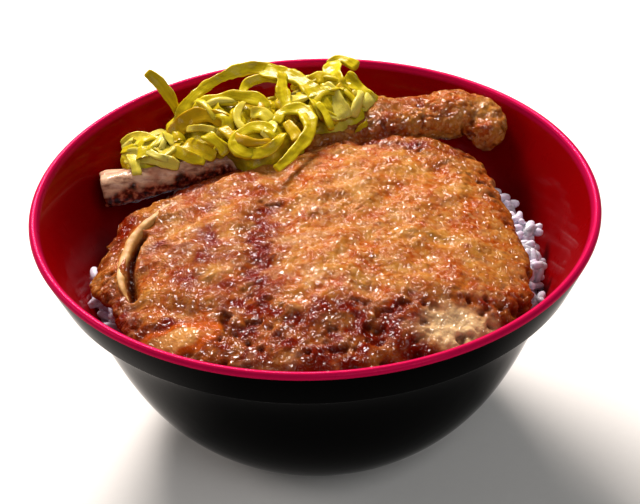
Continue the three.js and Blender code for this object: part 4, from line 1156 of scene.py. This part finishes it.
class BoneSettings(bpy.types.PropertyGroup):
    """Sizes and colours of the rib bone"""

    width: length_property("Width", "Width at the sawn end", 0.0148)
    thickness: length_property("Thickness", "Thickness at the sawn end", 0.0116)
    colour: colour_property("Colour", "Bone on top", "#cc9e80")


class GreensSettings(bpy.types.PropertyGroup):
    """Sizes and colours of the mustard greens"""

    strip_width: length_property("Strip width", "Width of a plain strip", 0.0064)
    strip_thickness: length_property("Strip thickness", "Thickness of a strip", 0.0026)
    loose_count: count_property("Loose strips", "Strips laid over the mounds", 38)
    leaf_count: count_property("Leaf bits", "Frilly bits of leaf laid over the mounds", 30)
    colour: colour_property("Colour", "Pickled stem", "#ccba1c")
    bruised: colour_property("Bruised", "Darker, bruised stem", "#ac940e")
    pale: colour_property("Pale", "Thick pale stem", "#dcd068")


class StageSettings(bpy.types.PropertyGroup):
    """Lights and colours round the bowl"""

    key_power: power_property("Back light", "Soft box behind and above", 29.0)
    fill_power: power_property("Front light", "Soft box in front and above", 5.0)
    side_power: power_property("Left light", "Soft box at the left", 2.5)
    air_strength: bpy.props.FloatProperty(
        name="Air", description="Light from all round", default=0.1, min=0.0)
    air_colour: colour_property("Air colour", "Colour of the light from all round", "#fbf6f0")
    table_colour: colour_property("Table", "Paint of the table", "#eeedeb")


GROUPS = {
    "bowl_settings": BowlSettings, "rice_settings": RiceSettings, "chop_settings": ChopSettings,
    "bone_settings": BoneSettings, "greens_settings": GreensSettings, "stage_settings": StageSettings,
}


class RICEBOWL_OT_bowl(bpy.types.Operator):
    """Turn the bowl and lacquer it"""

    bl_idname = "rice_bowl.bowl"
    bl_label = "Bowl"

    def execute(self, context):
        build_bowl(context.scene.bowl_settings)
        return {"FINISHED"}


class RICEBOWL_OT_rice(bpy.types.Operator):
    """Fill the bowl with rice"""

    bl_idname = "rice_bowl.rice"
    bl_label = "Rice"

    def execute(self, context):
        build_rice(context.scene.rice_settings)
        return {"FINISHED"}


class RICEBOWL_OT_chop(bpy.types.Operator):
    """Lay the fried pork chop on the rice"""

    bl_idname = "rice_bowl.chop"
    bl_label = "Pork chop"

    def execute(self, context):
        build_chop(context.scene.chop_settings)
        return {"FINISHED"}


class RICEBOWL_OT_bone(bpy.types.Operator):
    """Set the rib bone in the chop"""

    bl_idname = "rice_bowl.bone"
    bl_label = "Rib bone"

    def execute(self, context):
        build_bone(context.scene.bone_settings)
        return {"FINISHED"}


class RICEBOWL_OT_greens(bpy.types.Operator):
    """Heap the pickled mustard greens behind the chop"""

    bl_idname = "rice_bowl.greens"
    bl_label = "Mustard greens"

    def execute(self, context):
        build_greens(context.scene.greens_settings)
        return {"FINISHED"}


class RICEBOWL_OT_stage(bpy.types.Operator):
    """Set the table, the lights and the camera"""

    bl_idname = "rice_bowl.stage"
    bl_label = "Stage"

    def execute(self, context):
        build_stage(context.scene.stage_settings)
        return {"FINISHED"}


OPERATORS = (RICEBOWL_OT_bowl, RICEBOWL_OT_rice, RICEBOWL_OT_chop, RICEBOWL_OT_bone, RICEBOWL_OT_greens,
             RICEBOWL_OT_stage)


class RICEBOWL_PT_sidebar(bpy.types.Panel):
    """Every piece of the rice bowl, with its settings"""

    bl_label = "Rice bowl"
    bl_idname = "RICEBOWL_PT_sidebar"
    bl_space_type = "VIEW_3D"
    bl_region_type = "UI"
    bl_category = "Rice bowl"

    def draw(self, context):
        for operator, key in zip(OPERATORS, GROUPS):
            box = self.layout.box()
            box.operator(operator.bl_idname)
            settings = getattr(context.scene, key)
            for name in settings.__annotations__:
                box.prop(settings, name)


CLASSES = (*GROUPS.values(), *OPERATORS, RICEBOWL_PT_sidebar)


def register():
    for made in CLASSES:
        bpy.utils.register_class(made)
    for key, group in GROUPS.items():
        setattr(bpy.types.Scene, key, bpy.props.PointerProperty(type=group))


def unregister():
    for key in GROUPS:
        delattr(bpy.types.Scene, key)
    for made in reversed(CLASSES):
        bpy.utils.unregister_class(made)


def main():
    """Builds every piece."""
    register()
    bpy.ops.rice_bowl.bowl()
    bpy.ops.rice_bowl.rice()
    bpy.ops.rice_bowl.chop()
    bpy.ops.rice_bowl.bone()
    bpy.ops.rice_bowl.greens()
    bpy.ops.rice_bowl.stage()
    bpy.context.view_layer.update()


if __name__ == "__main__":
    main()
